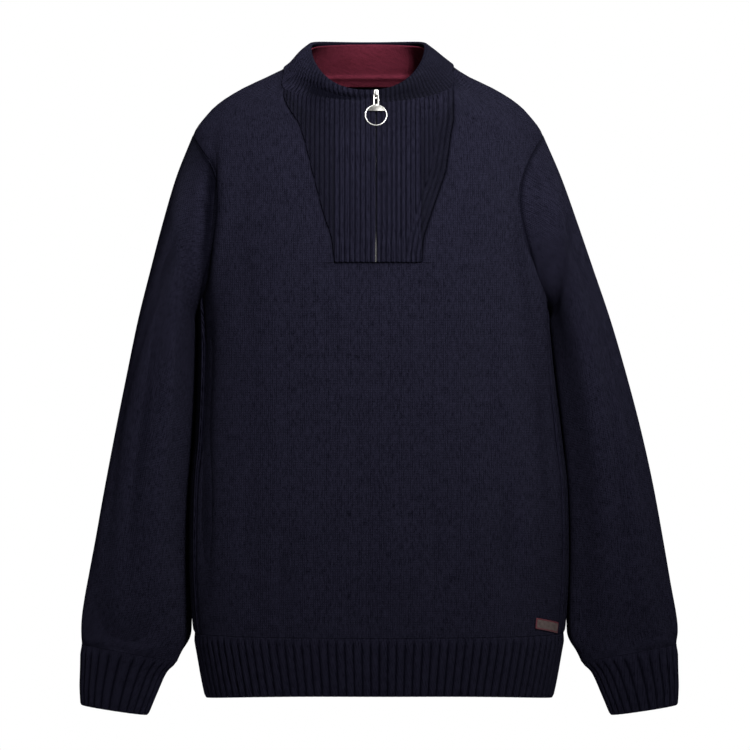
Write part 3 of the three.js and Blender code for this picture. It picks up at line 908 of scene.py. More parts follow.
def panel_levels() -> np.ndarray:
    """Levels of the rows of the front and back panel, close at edges and seams."""
    close = np.array([0, 0.2, 0.7, 1.4])
    corner = ARMHOLE.side(ARMHOLE.corner_turn)[1]
    plain = np.linspace(HEM_TOP, corner, 74)
    armhole = ARMHOLE.side(np.linspace(ARMHOLE.corner_turn, 0, 44))[1]
    shoulder = np.linspace(ARMHOLE.tip, NECK, 14)
    ends = [HEM_TOP + close, NECK - close, INSERT_BOTTOM - close]
    levels = np.unique(np.round(np.concatenate([plain, armhole, shoulder, *ends]), 2))
    keep = np.concatenate([[True], np.diff(levels) > 0.12])
    return levels[keep]


def seam_line_and_painted_crease_shade(distance: np.ndarray, pressed: np.ndarray) -> np.ndarray:
    """Darkening of the knit: a dark line along seams, and painted shade deep in creases.

    Args:
        distance: millimetres to the nearest seam.
        pressed: millimetres that the cloth is pressed in.

    Returns:
        Shade from 0 to 1.
    """
    seam = 0.85 * bell(distance, 0, 1.5)
    # Painted shade where the cloth is pressed in more than 2 mm.
    return np.clip(seam + 0.8 * smooth((pressed - 2.0) / 6.5), 0, 1)


def armhole_valley(distance: np.ndarray, points: np.ndarray) -> np.ndarray:
    """Shade of the fold where the left sleeve tucks behind the chest.

    Args:
        distance: millimetres to the armhole seam.
        points: the grid.

    Returns:
        Shade from 0 to 1.
    """
    ahead = (points[..., 0] < 0) & (points[..., 1] < 8)
    level = points[..., 2]
    length = smooth((-50 - level) / 45) * smooth((level + 330) / 90)
    return np.where(ahead, 0.75 * bell(distance, 0, 8.5) * length, 0)


def edge_distance(points: np.ndarray, columns: tuple) -> np.ndarray:
    """Distance of each point to chosen columns of its row.

    Args:
        points: the grid.
        columns: indices of the edge columns.

    Returns:
        The smallest distance, in millimetres.
    """
    gaps = [np.linalg.norm(points - points[:, c : c + 1], axis=2) for c in columns]
    return np.minimum.reduce(gaps)


@dataclass
class FrontPanel:
    """Plain knit front with its notch for the ribbed insert."""

    side_columns: int = 40
    middle_columns: int = 30
    welt: float = 1.1

    def build(self) -> bpy.types.Object:
        levels = panel_levels()
        outer = even(self.side_columns, 150.0)
        inner = np.linspace(0, 1, self.middle_columns + 1)
        turns = []
        for level in levels:
            edge = FORM.turn_at_y(-ARMHOLE.gap(level), level)
            seam_level = max(level, INSERT_BOTTOM)
            left = float(FORM.turn_at_x(SEAM.at(Hand.LEFT, seam_level) - 0.25, level))
            right = float(FORM.turn_at_x(SEAM.at(Hand.RIGHT, seam_level) + 0.25, level))
            turns.append(np.concatenate([
                FORM.spread(-edge, left, level, outer),
                FORM.spread(left, right, level, inner)[1:-1],
                FORM.spread(right, edge, level, outer),
            ]))
        turns = np.array(turns)
        rows = stretched_rows(levels, turns)
        points = FORM.point(turns, rows)
        normals = FORM.normal(turns, rows)
        first, second = len(outer) - 1, len(outer) + self.middle_columns - 2
        above = levels >= INSERT_BOTTOM - 0.01
        present = np.ones(turns.shape, bool)
        present[np.ix_(above, np.arange(first, second + 1))] = False
        last = turns.shape[1] - 1
        distance = edge_distance(points, (0, last))
        notch = edge_distance(points, (first, second + 1))
        distance = np.where(above[:, None], np.minimum(distance, notch), distance)
        distance = np.minimum(distance, np.where(rows > -55, neck_level(turns) - rows, 99))
        inside = (turns > turns[:, first : first + 1]) & (turns < turns[:, second : second + 1])
        below = np.where(inside & (rows < INSERT_BOTTOM), INSERT_BOTTOM - rows, 99)
        distance = np.minimum(distance, np.abs(below))
        front = np.ones(points.shape[:2], bool)
        fine = -FORM.press(points[..., 0], points[..., 2], front, FINE_FOLDS)
        near = np.where(above[:, None], notch, 99)
        fine = fine + self.welt * bell(near, 6, 4.5)
        pucker = np.hypot(points[..., 0] + 50, (points[..., 2] + 208) * 0.8)
        fine = fine - 1.6 * bell(pucker, 0, 9) - collar_tuck(points, rows)
        middle = (first + second) // 2
        across, along = knit_coordinates(points, False, middle)
        along = rows + np.zeros_like(along)
        # Painted shade: dark seam lines, painted shade in deep creases and in the fold at the
        # left armhole.
        shade = seam_line_and_painted_crease_shade(distance, -fine)
        valley = armhole_valley(edge_distance(points, (0,)), points)
        shade = np.clip(shade + valley, 0, 1)
        distance = np.minimum(distance, rows - HEM_TOP + EDGE_ROUND)
        cloth = Cloth(points, normals, across, along, fine, rounding(distance), present,
                      gutter=shade)
        piece = put_on("front_knit", cloth.mesh("front_knit"), JERSEY, ("front_panel",))
        return piece


@dataclass
class BackPanel:
    """Plain knit back."""

    columns: int = 96

    def build(self) -> bpy.types.Object:
        levels = panel_levels()
        shares = even(self.columns, 500.0)
        turns = []
        for level in levels:
            edge = FORM.turn_at_y(ARMHOLE.gap(level), level)
            turns.append(FORM.spread(edge, 2 * math.pi - edge, level, shares))
        turns = np.array(turns)
        rows = stretched_rows(levels, turns)
        points, normals = FORM.point(turns, rows), FORM.normal(turns, rows)
        distance = edge_distance(points, (0, turns.shape[1] - 1))
        distance = np.minimum(distance, neck_level(turns) - rows)
        back = np.zeros(points.shape[:2], bool)
        fine = -FORM.press(points[..., 0], points[..., 2], back, FINE_FOLDS)
        fine = fine - collar_tuck(points, rows)
        across, along = knit_coordinates(points, False, turns.shape[1] // 2)
        along = rows + np.zeros_like(along)
        present = np.ones(turns.shape, bool)
        # Painted shade: dark seam lines and painted shade in deep creases.
        shade = seam_line_and_painted_crease_shade(distance, -fine)
        distance = np.minimum(distance, rows - HEM_TOP + EDGE_ROUND)
        cloth = Cloth(points, normals, across, along, fine, rounding(distance), present,
                      gutter=shade)
        piece = put_on("back_knit", cloth.mesh("back_knit"), JERSEY, ("back_panel",))
        return piece


@dataclass
class SidePanel:
    """Ribbed strip under the arm."""

    hand: Hand
    ribs: int = 10
    rib_height: float = 1.5
    rows: int = 96

    def build(self) -> bpy.types.Object:
        side = self.hand.value
        name = f"side_rib_{self.hand.name.lower()}"
        count = self.ribs * RIB_SAMPLES
        shares = np.linspace(-1, 1, count + 1)
        corner = ARMHOLE.side(ARMHOLE.corner_turn)[1]
        levels = HEM_TOP - 0.3 + (corner - HEM_TOP) * even(self.rows, corner - HEM_TOP)
        turns, rows = np.zeros((len(levels), count + 1)), np.zeros((len(levels), count + 1))
        bottom_turns = np.linspace(ARMHOLE.corner_turn, math.pi, 40)
        edge_y, edge_level = ARMHOLE.side(bottom_turns)
        for i, level in enumerate(levels):
            y = shares * (ARMHOLE.gap(level) - 0.03)
            dip = np.interp(-np.abs(y), edge_y, edge_level) - corner
            rise = smooth(np.array([(level + 300) / (corner + 300)]))[0] if level > -300 else 0.0
            rows[i] = level + dip * rise - 0.8 * rise
            turns[i] = [side * FORM.turn_at_y(side * v, w) for v, w in zip(y, rows[i])]
        points, normals = FORM.point(turns, rows), FORM.normal(turns, rows)
        raised = rib_profile(np.arange(count + 1)[None, :] / RIB_SAMPLES, self.rib_height)
        ends = np.minimum(levels - levels[0], levels[-1] - levels)[:, None]
        # Painted shade in the rib gutters.
        gutter = (1 - raised / self.rib_height) + np.zeros(turns.shape)
        raised = raised * smooth(ends / 5.0)
        ends = np.minimum(levels - levels[0] + EDGE_ROUND, levels[-1] - levels)[:, None]
        distance = np.minimum(edge_distance(points, (0, count)), ends)
        across, along = knit_coordinates(points, False, None)
        present = np.ones(turns.shape, bool)
        cloth = Cloth(points, normals, across, along, raised, rounding(distance), present,
                      gutter=gutter)
        piece = put_on(name, cloth.mesh(name), RIB,
                       (f"side_panel_{self.hand.name.lower()}",))
        return piece


@dataclass
class HemRib:
    """Half of the ribbed hem."""

    facing: Facing
    ribs: int = 56
    rib_height: float = 1.9
    rows: int = 16

    def build(self) -> bpy.types.Object:
        label = self.facing.name.lower()
        start = -QUARTER if self.facing is Facing.FRONT else QUARTER
        count = self.ribs * RIB_SAMPLES
        shares = np.linspace(0, 1, count + 1)
        height = HEM_TOP - HEM_BOTTOM - 0.3
        levels = HEM_BOTTOM + height * even(self.rows, height)
        turns = []
        for level in levels:
            gap = QUARTER - FORM.turn_at_y(-0.2, level)
            turns.append(FORM.spread(start + gap, start + math.pi - gap, level, shares))
        turns, rows = np.array(turns), levels[:, None]
        points, normals = FORM.point(turns, rows), FORM.normal(turns, rows)
        wave = 1.2 * np.sin(points[..., 0] / 31.0 + 1.3) * smooth((-620 - rows) / 50)
        raised = rib_profile(np.arange(count + 1)[None, :] / RIB_SAMPLES, self.rib_height)
        ends = np.minimum(levels - levels[0], levels[-1] - levels)[:, None]
        # Painted shade in the rib gutters, faint near the top edge.
        gutter = (1 - raised / self.rib_height) + np.zeros(turns.shape)
        fade = 0.15 + 0.85 * smooth((levels[-1] - levels)[:, None] / 9.0)
        gutter = gutter * fade
        raised = raised * fade * (0.4 + 0.6 * smooth((levels - levels[0])[:, None] / 4.0))
        points = points + normals * wave[..., None]
        to_top = (levels[-1] - levels)[:, None] + EDGE_ROUND
        distance = np.minimum(edge_distance(points, (0, count)), np.minimum(3 * ends, to_top))
        across, along = knit_coordinates(points, False, None)
        present = np.ones(turns.shape, bool)
        cloth = Cloth(points, normals, across, along, raised, rounding(distance), present,
                      gutter=gutter)
        name = f"hem_knit_{label}"
        piece = put_on(name, cloth.mesh(name), RIB, (f"hem_rib_{label}",))
        return piece


@dataclass
class Collar:
    """Ribbed stand collar that runs on into the front insert."""

    left_ribs: int = 20
    back_ribs: int = 66
    right_ribs: int = 18
    samples: int = 5
    insert_rows: int = 46
    collar_rows: int = 16
    rib_height: float = 2.2
    slider_level: float = 34.0
    slanted_ribs: float = 3.0
    slanted_pitch: float = 5.4

    def zip_gap(self, level: np.ndarray) -> np.ndarray:
        """Half gap at the zip, wider round the slider and at the foot where teeth show."""
        foot = 0.85 * smooth((-163 - level) / 20)
        return 0.07 + foot + 0.6 * np.exp(-(((level - self.slider_level) / 7) ** 2))

    def build(self) -> bpy.types.Object:
        left, back, right = (n * self.samples for n in
                             (self.left_ribs, self.back_ribs, self.right_ribs))
        base = NECK + 0.2
        full = 2 * math.pi
        left_corner = float(FORM.turn_at_x(SEAM.at(Hand.LEFT, NECK), base))
        right_corner = float(FORM.turn_at_x(SEAM.at(Hand.RIGHT, NECK), base))

        def ring(level: float) -> np.ndarray:
            """Turns of all columns on one ring of the collar."""
            share = (level - base) / (CREST - base)
            near, far = left_corner - share * 0.45, right_corner + share * 0.3 - full
            gap = float(self.zip_gap(np.array(level)))
            start = float(FORM.turn_at_x(-gap, level))
            end = float(FORM.turn_at_x(gap, level)) - full
            return np.concatenate([
                FORM.spread(start, near, level, np.linspace(0, 1, left + 1)),
                FORM.spread(near, far, level, np.linspace(0, 1, back + 1))[1:],
                FORM.spread(far, end, level, np.linspace(0, 1, right + 1))[1:],
            ])

        height = CREST - base
        upper_shares = even(self.collar_rows, height)
        low = neck_level(ring(base)) - 0.3
        upper_rows = low[None, :] + (CREST - low[None, :]) * upper_shares[:, None]
        rings = np.linspace(base, CREST, 33)
        table = np.array([ring(level) for level in rings])
        upper_turns = np.array([
            np.interp(upper_rows[:, j], rings, table[:, j]) for j in range(len(low))
        ]).T
        across_x = FORM.point(table[0], base)[:, 0]
        columns = len(across_x)
        index = np.arange(columns)
        hands = index <= left
        foot = np.array([self._foot(x, Hand.LEFT if hand else Hand.RIGHT)
                         for x, hand in zip(across_x, hands)])
        shares = even(self.insert_rows, base - INSERT_BOTTOM)[:-1, None]
        lower = foot[None, :] + (low - foot[None, :]) * shares
        gap = self.zip_gap(lower)
        moved = np.where(hands, np.minimum(across_x, -gap), np.maximum(across_x, gap))
        lower_turns = FORM.turn_at_x(moved, lower)
        lower_turns = np.where(hands, lower_turns, lower_turns - full)
        turns = np.concatenate([lower_turns, upper_turns])
        rows = np.concatenate([lower, upper_rows])
        points = FORM.point(turns, rows)
        normals = FORM.normal(turns, rows)
        present = np.ones(turns.shape, bool)
        lower_count = len(lower)
        present[:lower_count, left : left + back] = False
        raised = self._ribs(points, rows, index, lower_count)
        distance = edge_distance(points, (0, columns - 1))
        distance = np.minimum(distance, CREST - rows)
        to_foot = np.where(rows < base, rows - foot[None, :], 99)
        open_back = (index > left) & (index < left + back)
        distance = np.minimum(distance, np.where(open_back[None, :], rows - low, to_foot))
        crest = np.exp(-(((CREST - rows) / 5.0) ** 2))
        # Painted shade in the rib grooves.
        gutter = 1 - raised / self.rib_height
        raised = raised * (1 - 0.6 * crest) + 0.8 * crest
        raised = raised - collar_tuck(points, rows)
        hollow = insert_hollow(points)
        raised = raised - 1.5 * hollow
        # Painted shade in the valley under the rim and in the hollow, both also pressed in.
        gutter = np.clip(gutter + 0.13 * collar_valley(points, rows) + 0.6 * hollow, 0, 1)
        across, along = knit_coordinates(points, False, None)
        shift = across[lower_count, -1] - across[:lower_count, -1:]
        across[:lower_count, left + back :] += shift
        cloth = Cloth(points, normals, across, rows + np.zeros_like(along), raised,
                      rounding(distance), present, gutter=gutter)
        mesh = cloth.mesh("collar_knit")
        mesh.flip_normals()
        piece = put_on("collar_knit", mesh, RIB, ("collar",))
        return piece

    @staticmethod
    def _foot(x: float, hand: Hand) -> float:
        """Lowest level of a column that stands at a distance across."""
        levels = np.linspace(INSERT_BOTTOM + 0.3, 8, 400)
        reached = np.abs(SEAM.at(hand, levels)) >= abs(x)
        return float(levels[np.argmax(reached)]) if reached.any() else 8.0

    def _ribs(self, points: np.ndarray, rows: np.ndarray, index: np.ndarray,
              lower_count: int) -> np.ndarray:
        """Height of the ribs, with some that follow the right slanted seam."""
        straight = rib_profile(index[None, :] / self.samples, self.rib_height)
        seam = SEAM.at(Hand.RIGHT, rows)
        distance = (seam - points[..., 0]) * 0.96
        slanted = rib_profile(distance / self.slanted_pitch, self.rib_height)
        zone = (points[..., 0] > 0) & (rows < NECK) & (rows > -185)
        zone &= distance < self.slanted_ribs * self.slanted_pitch
        zone[lower_count:] = False
        return np.where(zone, slanted, straight + np.zeros_like(rows))


@dataclass
class CollarLining:
    """Inner layer of the collar in burgundy, with the raised neck seam."""

    columns: int = 190
    rows: int = 40
    front: float = 14.0
    depth: float = 4.1
    wall: float = 1.8
    bottom: float = 4.0
    top: float = 44.5

    def build(self) -> bpy.types.Object:
        levels = self.bottom + (self.top - self.bottom) * even(self.rows, self.top - self.bottom)
        shares = even(self.columns, 420.0)
        turns = []
        for level in levels:
            start = float(FORM.turn_at_x(self.front, level))
            end = float(FORM.turn_at_x(-self.front, level)) + 2 * math.pi
            turns.append(FORM.spread(start, end, level, shares))
        turns, rows = np.array(turns), levels[:, None]
        points, normals = FORM.point(turns, rows), FORM.normal(turns, rows)
        ridge = 1.5 * bell(rows, 13, 2.2)
        distance = np.minimum(levels - levels[0], levels[-1] - levels)[:, None]
        points = points - normals * (ridge + collar_tuck(points, rows))[..., None]
        across, along = knit_coordinates(points, False, None)
        flat = np.zeros(turns.shape)
        drawn = rounding(distance + flat) * 0.5
        cloth = Cloth(points, normals, across, along, flat, drawn, flat == 0, wall=self.wall,
                      offset=-self.depth)
        piece = put_on("collar_lining_knit", cloth.mesh("collar_lining_knit"), LINING_KNIT,
                       ("collar_lining",))
        return piece


@dataclass(frozen=True)
class Dent:
    """A soft trough or ridge on a sleeve, placed by share of its length and turn."""

    share: float
    turn: float
    length: float
    half: float
    depth: float
    twist: float = 0.0


@dataclass
class Sleeve:
    """Plain knit sleeve and its ribbed cuff."""

    hand: Hand
    around: int = 96
    rows_per_section: int = 10
    cuff_ribs: int = 26
    rib_height: float = 1.7
    back_shift: float = 5.0
    lean_turn: float = 0.35
    lean_height: float = 8.5
    lean_half: float = 0.27
    front_lean: dict = field(default_factory=lambda: {Hand.LEFT: 1.0, Hand.RIGHT: 6.5})
    allowance: float = 5.0
    out_x: tuple = (213, 230, 246, 262, 276, 290, 303, 315, 325, 330, 330)
    out_z: tuple = (-98, -150, -203, -257, -313, -373, -435, -500, -560, -598, -617)
    in_x: tuple = (198.5, 199, 200, 201.5, 204, 208.5, 213, 215, 214, 215, 224)
    in_z: tuple = (-258, -270, -284, -306, -342, -392, -447, -510, -570, -612, -636)
    depth: tuple = (72, 73, 73, 71, 67, 62, 57, 50, 41, 31, 26)
    cuff_out: tuple = ((330, -617.3), (330.5, -644), (331, -664), (330, -685))
    cuff_in: tuple = ((224.4, -636.3), (237, -648), (248, -672), (258, -696))
    cuff_depth: tuple = (25.6, 24, 23, 22)

    def section(self, row: tuple, turns: np.ndarray) -> np.ndarray:
        """Points round one section.

        Args:
            row: outer x and z, inner x and z, half depth.
            turns: 0 at the outer edge, a quarter turn at the front.

        Returns:
            The points in millimetres.
        """
        out_x, out_z, in_x, in_z, depth = row
        side = self.hand.value
        outer = np.array([side * out_x + FORM.lean(out_z), 0, out_z])
        inner = np.array([side * in_x + FORM.lean(in_z), 0, in_z])
        across, forward = power(np.cos(turns), 0.92), power(np.sin(turns), 0.92)
        points = (outer + inner) / 2 + across[:, None] * (outer - inner) / 2
        points[:, 1] += self.back_shift * np.abs(forward) - depth * forward
        return points

    def armhole(self, turns: np.ndarray) -> tuple:
        """Points of the armhole seam and the body's normals there."""
        side = self.hand.value
        y, level = ARMHOLE.side(turns)
        at = np.array([side * FORM.turn_at_y(v, w) for v, w in zip(y, level)])
        points = FORM.point(at, level)
        points[:, 0] += side * 0.4
        return points, FORM.normal(at, level)

    def dents(self) -> tuple:
        """Creases of this sleeve, uneven and different on each hand."""
        if self.hand is Hand.LEFT:
            return (
                Dent(0.56, 1.42, 0.30, 0.24, 5.5, 0.12),
                Dent(0.42, 1.90, 0.26, 0.20, -2.4, 0.1),
                Dent(0.30, 0.95, 0.22, 0.18, 2.6, -0.5),
                Dent(0.72, 0.80, 0.20, 0.22, 3.0, 0.4),
                Dent(0.86, 0.85, 0.10, 0.26, 2.6, 1.2),
                Dent(0.93, 1.55, 0.07, 0.30, 2.8, -0.8),
                Dent(0.90, 0.30, 0.10, 0.22, -2.0, 0.6),
                Dent(0.16, 1.35, 0.12, 0.20, 2.6, -1.2),
                Dent(0.45, 4.30, 0.34, 0.24, 3.0, 0.3),
                Dent(0.70, 5.20, 0.24, 0.20, 2.4, -0.5),
                Dent(0.88, 4.60, 0.10, 0.30, 2.6, 0.9),
                Dent(0.20, 4.90, 0.14, 0.22, 2.4, 1.2),
            )
        return (
            Dent(0.40, 0.80, 0.30, 0.19, 2.8, -0.1),
            Dent(0.60, 1.35, 0.28, 0.20, 3.6, 0.2),
            Dent(0.50, 1.85, 0.26, 0.20, -2.2, 0.1),
            Dent(0.84, 0.70, 0.12, 0.24, 2.4, -1.0),
            Dent(0.92, 1.35, 0.08, 0.28, 3.0, 0.9),
            Dent(0.88, 0.15, 0.10, 0.22, -1.8, -0.6),
            Dent(0.14, 1.45, 0.12, 0.18, 2.8, -1.4),
            Dent(0.24, 1.10, 0.12, 0.14, -1.6, -1.0),
            Dent(0.50, 4.90, 0.34, 0.22, 3.0, -0.3),
            Dent(0.72, 4.20, 0.22, 0.20, 2.2, 0.5),
            Dent(0.90, 5.10, 0.09, 0.30, 2.8, -0.9),
            Dent(0.18, 4.70, 0.14, 0.22, 2.6, 1.0),
        )

    def build(self) -> tuple:
        """Build and dress sleeve and cuff."""
        return self._sleeve(), self._cuff()

    def _directed(self, count: int) -> np.ndarray:
        """Turns round the sleeve in the order that faces its mesh outwards."""
        turns = np.arange(count) * 2 * math.pi / count
        return turns if self.hand is Hand.RIGHT else -turns

    def _sleeve(self) -> bpy.types.Object:
        """Build the sleeve from armhole to cuff."""
        turns = self._directed(self.around)
        table = list(zip(self.out_x, self.out_z, self.in_x, self.in_z, self.depth))
        seam, body_normals = self.armhole(turns)
        loops = [seam, *(self.section(row, turns) for row in table)]
        loops = np.array(loops)
        last = len(loops) - 1
        fine = last * even(last * self.rows_per_section, 600.0)
        places = np.arange(last + 1)
        flat = loops.reshape(last + 1, -1)
        points = np.stack([Track(places, flat[:, i])(fine) for i in range(flat.shape[1])], 1)
        points = points.reshape(len(fine), self.around, 3)
        normals = grid_normals(points, True)
        share = (fine / last)[:, None]
        round_turn = np.abs(turns)[None, :]
        if self.hand is Hand.LEFT:
            round_turn = np.mod(turns, 2 * math.pi)[None, :]
        pressed = np.zeros(points.shape[:2])
        for dent in self.dents():
            middle = dent.turn + dent.twist * (share - dent.share) * 4
            apart = np.abs(np.angle(np.exp(1j * (round_turn - middle))))
            shape = np.exp(-((apart / dent.half) ** 2))
            pressed -= dent.depth * shape * np.exp(-(((share - dent.share) / dent.length) ** 2))
        blouse = 2.0 * bell(share, 0.965, 0.03)
        front_or_back = np.abs(np.sin(round_turn))
        free = smooth(share / 0.05) * smooth((1 - share) / 0.012)
        inner = smooth((np.cos(round_turn) + 0.75) / 0.35)
        apart = np.abs(np.angle(np.exp(1j * (round_turn - math.pi - self.lean_turn))))
        length = smooth(share / 0.16) * smooth((0.965 - share) / 0.08)
        leaning = self.lean_height * bell(apart, 0, self.lean_half) * length
        apart = np.abs(np.angle(np.exp(1j * (round_turn - math.pi + self.lean_turn))))
        forward = self.front_lean[self.hand] * bell(apart, 0, self.lean_half)
        leaning = leaning + forward * length
        ahead = points[..., 1] < 5
        folds = FORM.press(points[..., 0], points[..., 2], ahead, FINE_FOLDS)
        raised = (pressed + blouse * front_or_back) * free * inner + leaning - folds
        points, normals, raised = self._allowance(points, normals, raised, body_normals)
        hidden = len(raised) - len(folds)
        steps = np.linalg.norm(np.diff(points, axis=0), axis=2).mean(axis=1)
        run = np.concatenate([[0], np.cumsum(steps)])
        distance = np.minimum(run, run[-1] - run + EDGE_ROUND)[:, None] + np.zeros_like(raised)
        to_seam = np.abs(run - run[hidden])[:, None]
        # Painted shade: dark seam line at the armhole, painted shade in deep creases and in the
        # fold at the left armhole.
        shade = seam_line_and_painted_crease_shade(to_seam + np.zeros_like(raised), -raised)
        shade = np.clip(shade + armhole_valley(to_seam + np.zeros_like(raised), points), 0, 1)
        across, along = knit_coordinates(points, True, None)
        along = run[:, None] + np.zeros_like(along)
        across = across - across[:, self.around // 4 : self.around // 4 + 1]
        present = np.ones(raised.shape, bool)
        cloth = Cloth(points, normals, across, along, raised, rounding(distance), present, True,
                      gutter=shade)
        hand = self.hand.name.lower()
        mesh = outwards(cloth.mesh(f"sleeve_knit_{hand}"))
        piece = put_on(f"sleeve_knit_{hand}", mesh, JERSEY, (f"sleeve_{hand}",))
        return piece

    def _allowance(self, points: np.ndarray, normals: np.ndarray, raised: np.ndarray,
                   body_normals: np.ndarray) -> tuple:
        """Add the seam allowance that lies inside the body's armhole.

        Args:
            points: the sleeve's grid.
            normals: its normals.
            raised: its relief.
            body_normals: the body's normals along the seam.

        Returns:
            The three arrays with the extra rows in front.
        """
        into = body_normals * 4.5
        into[:, 0] += self.hand.value * self.allowance
        shares = np.array([1.0, 0.6, 0.3])[:, None, None]
        extra = points[:1] - shares * into[None]
        rows = len(shares)
        normals = np.concatenate([np.repeat(normals[:1], rows, 0), normals])
        raised = np.concatenate([np.repeat(raised[:1] * 0, rows, 0), raised])
        return np.concatenate([extra, points]), normals, raised

    def _cuff(self) -> bpy.types.Object:
        """Build the ribbed cuff."""
        count = self.cuff_ribs * RIB_SAMPLES
        turns = self._directed(count)
        loops = np.array([
            self.section((*out, *inner, depth), turns)
            for out, inner, depth in zip(self.cuff_out, self.cuff_in, self.cuff_depth)
        ])
        last = len(loops) - 1
        fine = last * even(22, 66.0)
        flat = loops.reshape(last + 1, -1)
        places = np.arange(last + 1)
        points = np.stack([Track(places, flat[:, i])(fine) for i in range(flat.shape[1])], 1)
        points = points.reshape(len(fine), count, 3)
        normals = grid_normals(points, True)
        steps = np.linalg.norm(np.diff(points, axis=0), axis=2).mean(axis=1)
        run = np.concatenate([[0], np.cumsum(steps)])
        raised = rib_profile(np.arange(count)[None, :] / RIB_SAMPLES, self.rib_height)
        # Painted shade in the rib gutters, faint at the seam with the sleeve.
        gutter = (1 - raised / self.rib_height) + np.zeros(points.shape[:2])
        fade = 0.15 + 0.85 * smooth(run[:, None] / 9.0)
        gutter = gutter * fade
        raised = raised * fade * (0.4 + 0.6 * smooth((run[-1] - run)[:, None] / 4.0))
        across, along = knit_coordinates(points, True, None)
        present = np.ones(raised.shape, bool)
        distance = np.minimum(run + EDGE_ROUND, run[-1] - run)[:, None] + np.zeros_like(raised)
        cloth = Cloth(points, normals, across, along, raised, rounding(distance), present, True,
                      gutter=gutter)
        hand = self.hand.name.lower()
        mesh = outwards(cloth.mesh(f"cuff_knit_{hand}"))
        piece = put_on(f"cuff_knit_{hand}", mesh, RIB, (f"cuff_{hand}",))
        return piece


def outwards(mesh: bpy.types.Mesh) -> bpy.types.Mesh:
    """Turn a closed mesh's faces out if they point in."""
    volume = 0.0
    for face in mesh.polygons:
        volume += face.center.dot(face.normal) * face.area
    if volume < 0:
        mesh.flip_normals()
    return mesh


@dataclass
class Label:
    """Small leather patch above the hem, with a plain face."""

    x: float = 188.5
    level: float = -593.0
    length: float = 40.0
    height: float = 12.0
    tilt: float = 0.17
    lift: float = 0.3
    thick: float = 1.4
    columns: int = 40
    rows: int = 14

    def build(self) -> bpy.types.Object:
        """Build and dress the patch."""
        middle = float(FORM.turn_at_x(self.x, self.level))
        nearby = FORM.point(np.array([middle, middle + 0.01]), self.level)
        turn_per_mm = 0.01 / float(np.linalg.norm(nearby[1] - nearby[0]))
        across = (even(self.columns, self.length) - 0.5) * self.length
        upward = (even(self.rows, self.height) - 0.5) * self.height
        a, b = np.meshgrid(across, upward)
        corner = 1.2
        inset_a = np.clip(np.abs(a) - (self.length / 2 - corner), 0, None)
        inset_b = np.clip(np.abs(b) - (self.height / 2 - corner), 0, None)
        shrink = 1 - 0.25 * (inset_a * inset_b) / (corner * corner)
        a, b = a * (1 - (1 - shrink) * 0.06), b * (1 - (1 - shrink) * 0.2)
        rows = self.level + b - a * self.tilt
        turns = middle + a * turn_per_mm
        points, normals = FORM.point(turns, rows), FORM.normal(turns, rows)
        edge = np.minimum(self.length / 2 - np.abs(a), self.height / 2 - np.abs(b))
        border = bell(edge, 1.9, 0.45)
        raised = -0.25 * border
        drawn = rounding(np.clip(edge, 0, None) * 1.6) * 0.45
        cloth = Cloth(points, normals, a + self.length / 2, b + self.height / 2, raised, drawn,
                      np.ones(a.shape, bool), wall=self.thick, offset=self.lift + self.thick)
        finish = LeatherFinish("label_leather", (0.009, 0.006, 0.0056), (0.030, 0.022, 0.0210),
                               (0.022, 0.004, 0.006), self.length, self.height)
        return put_on("label_patch", cloth.mesh("label_patch"), finish, ("label",))


class Workbench:
    """Edit-mode helpers for the hard pieces."""

    @staticmethod
    def clear() -> None:
        """Deselect everything."""
        bpy.ops.object.select_all(action="DESELECT")

    @staticmethod
    def bevel(piece: bpy.types.Object, width: float, segments: int = 3) -> None:
        """Round a piece's edges and apply it."""
        modifier = piece.modifiers.new("bevel", "BEVEL")
        modifier.width = width * MM
        modifier.segments = segments
        modifier.limit_method = "ANGLE"
        bpy.context.view_layer.objects.active = piece
        bpy.ops.object.modifier_apply(modifier=modifier.name)

    @staticmethod
    def block(size: tuple, place: tuple) -> bpy.types.Object:
        """Cube primitive at a size and place, in millimetres."""
        Workbench.clear()
        bpy.ops.mesh.primitive_cube_add(size=1, location=(0, 0, 0))
        piece = bpy.context.object
        piece.data.transform(Matrix.Diagonal((*(s * MM for s in size), 1)))
        piece.data.transform(Matrix.Translation(Vector(place) * MM))
        return piece

    @staticmethod
    def join(pieces: list, name: str) -> bpy.types.Object:
        """Join pieces into the first one."""
        Workbench.clear()
        for piece in pieces:
            piece.select_set(True)
        bpy.context.view_layer.objects.active = pieces[0]
        bpy.ops.object.join()
        joined = bpy.context.object
        joined.name = name
        joined.data.name = name
        bpy.ops.object.shade_smooth_by_angle(angle=math.radians(40))
        return joined


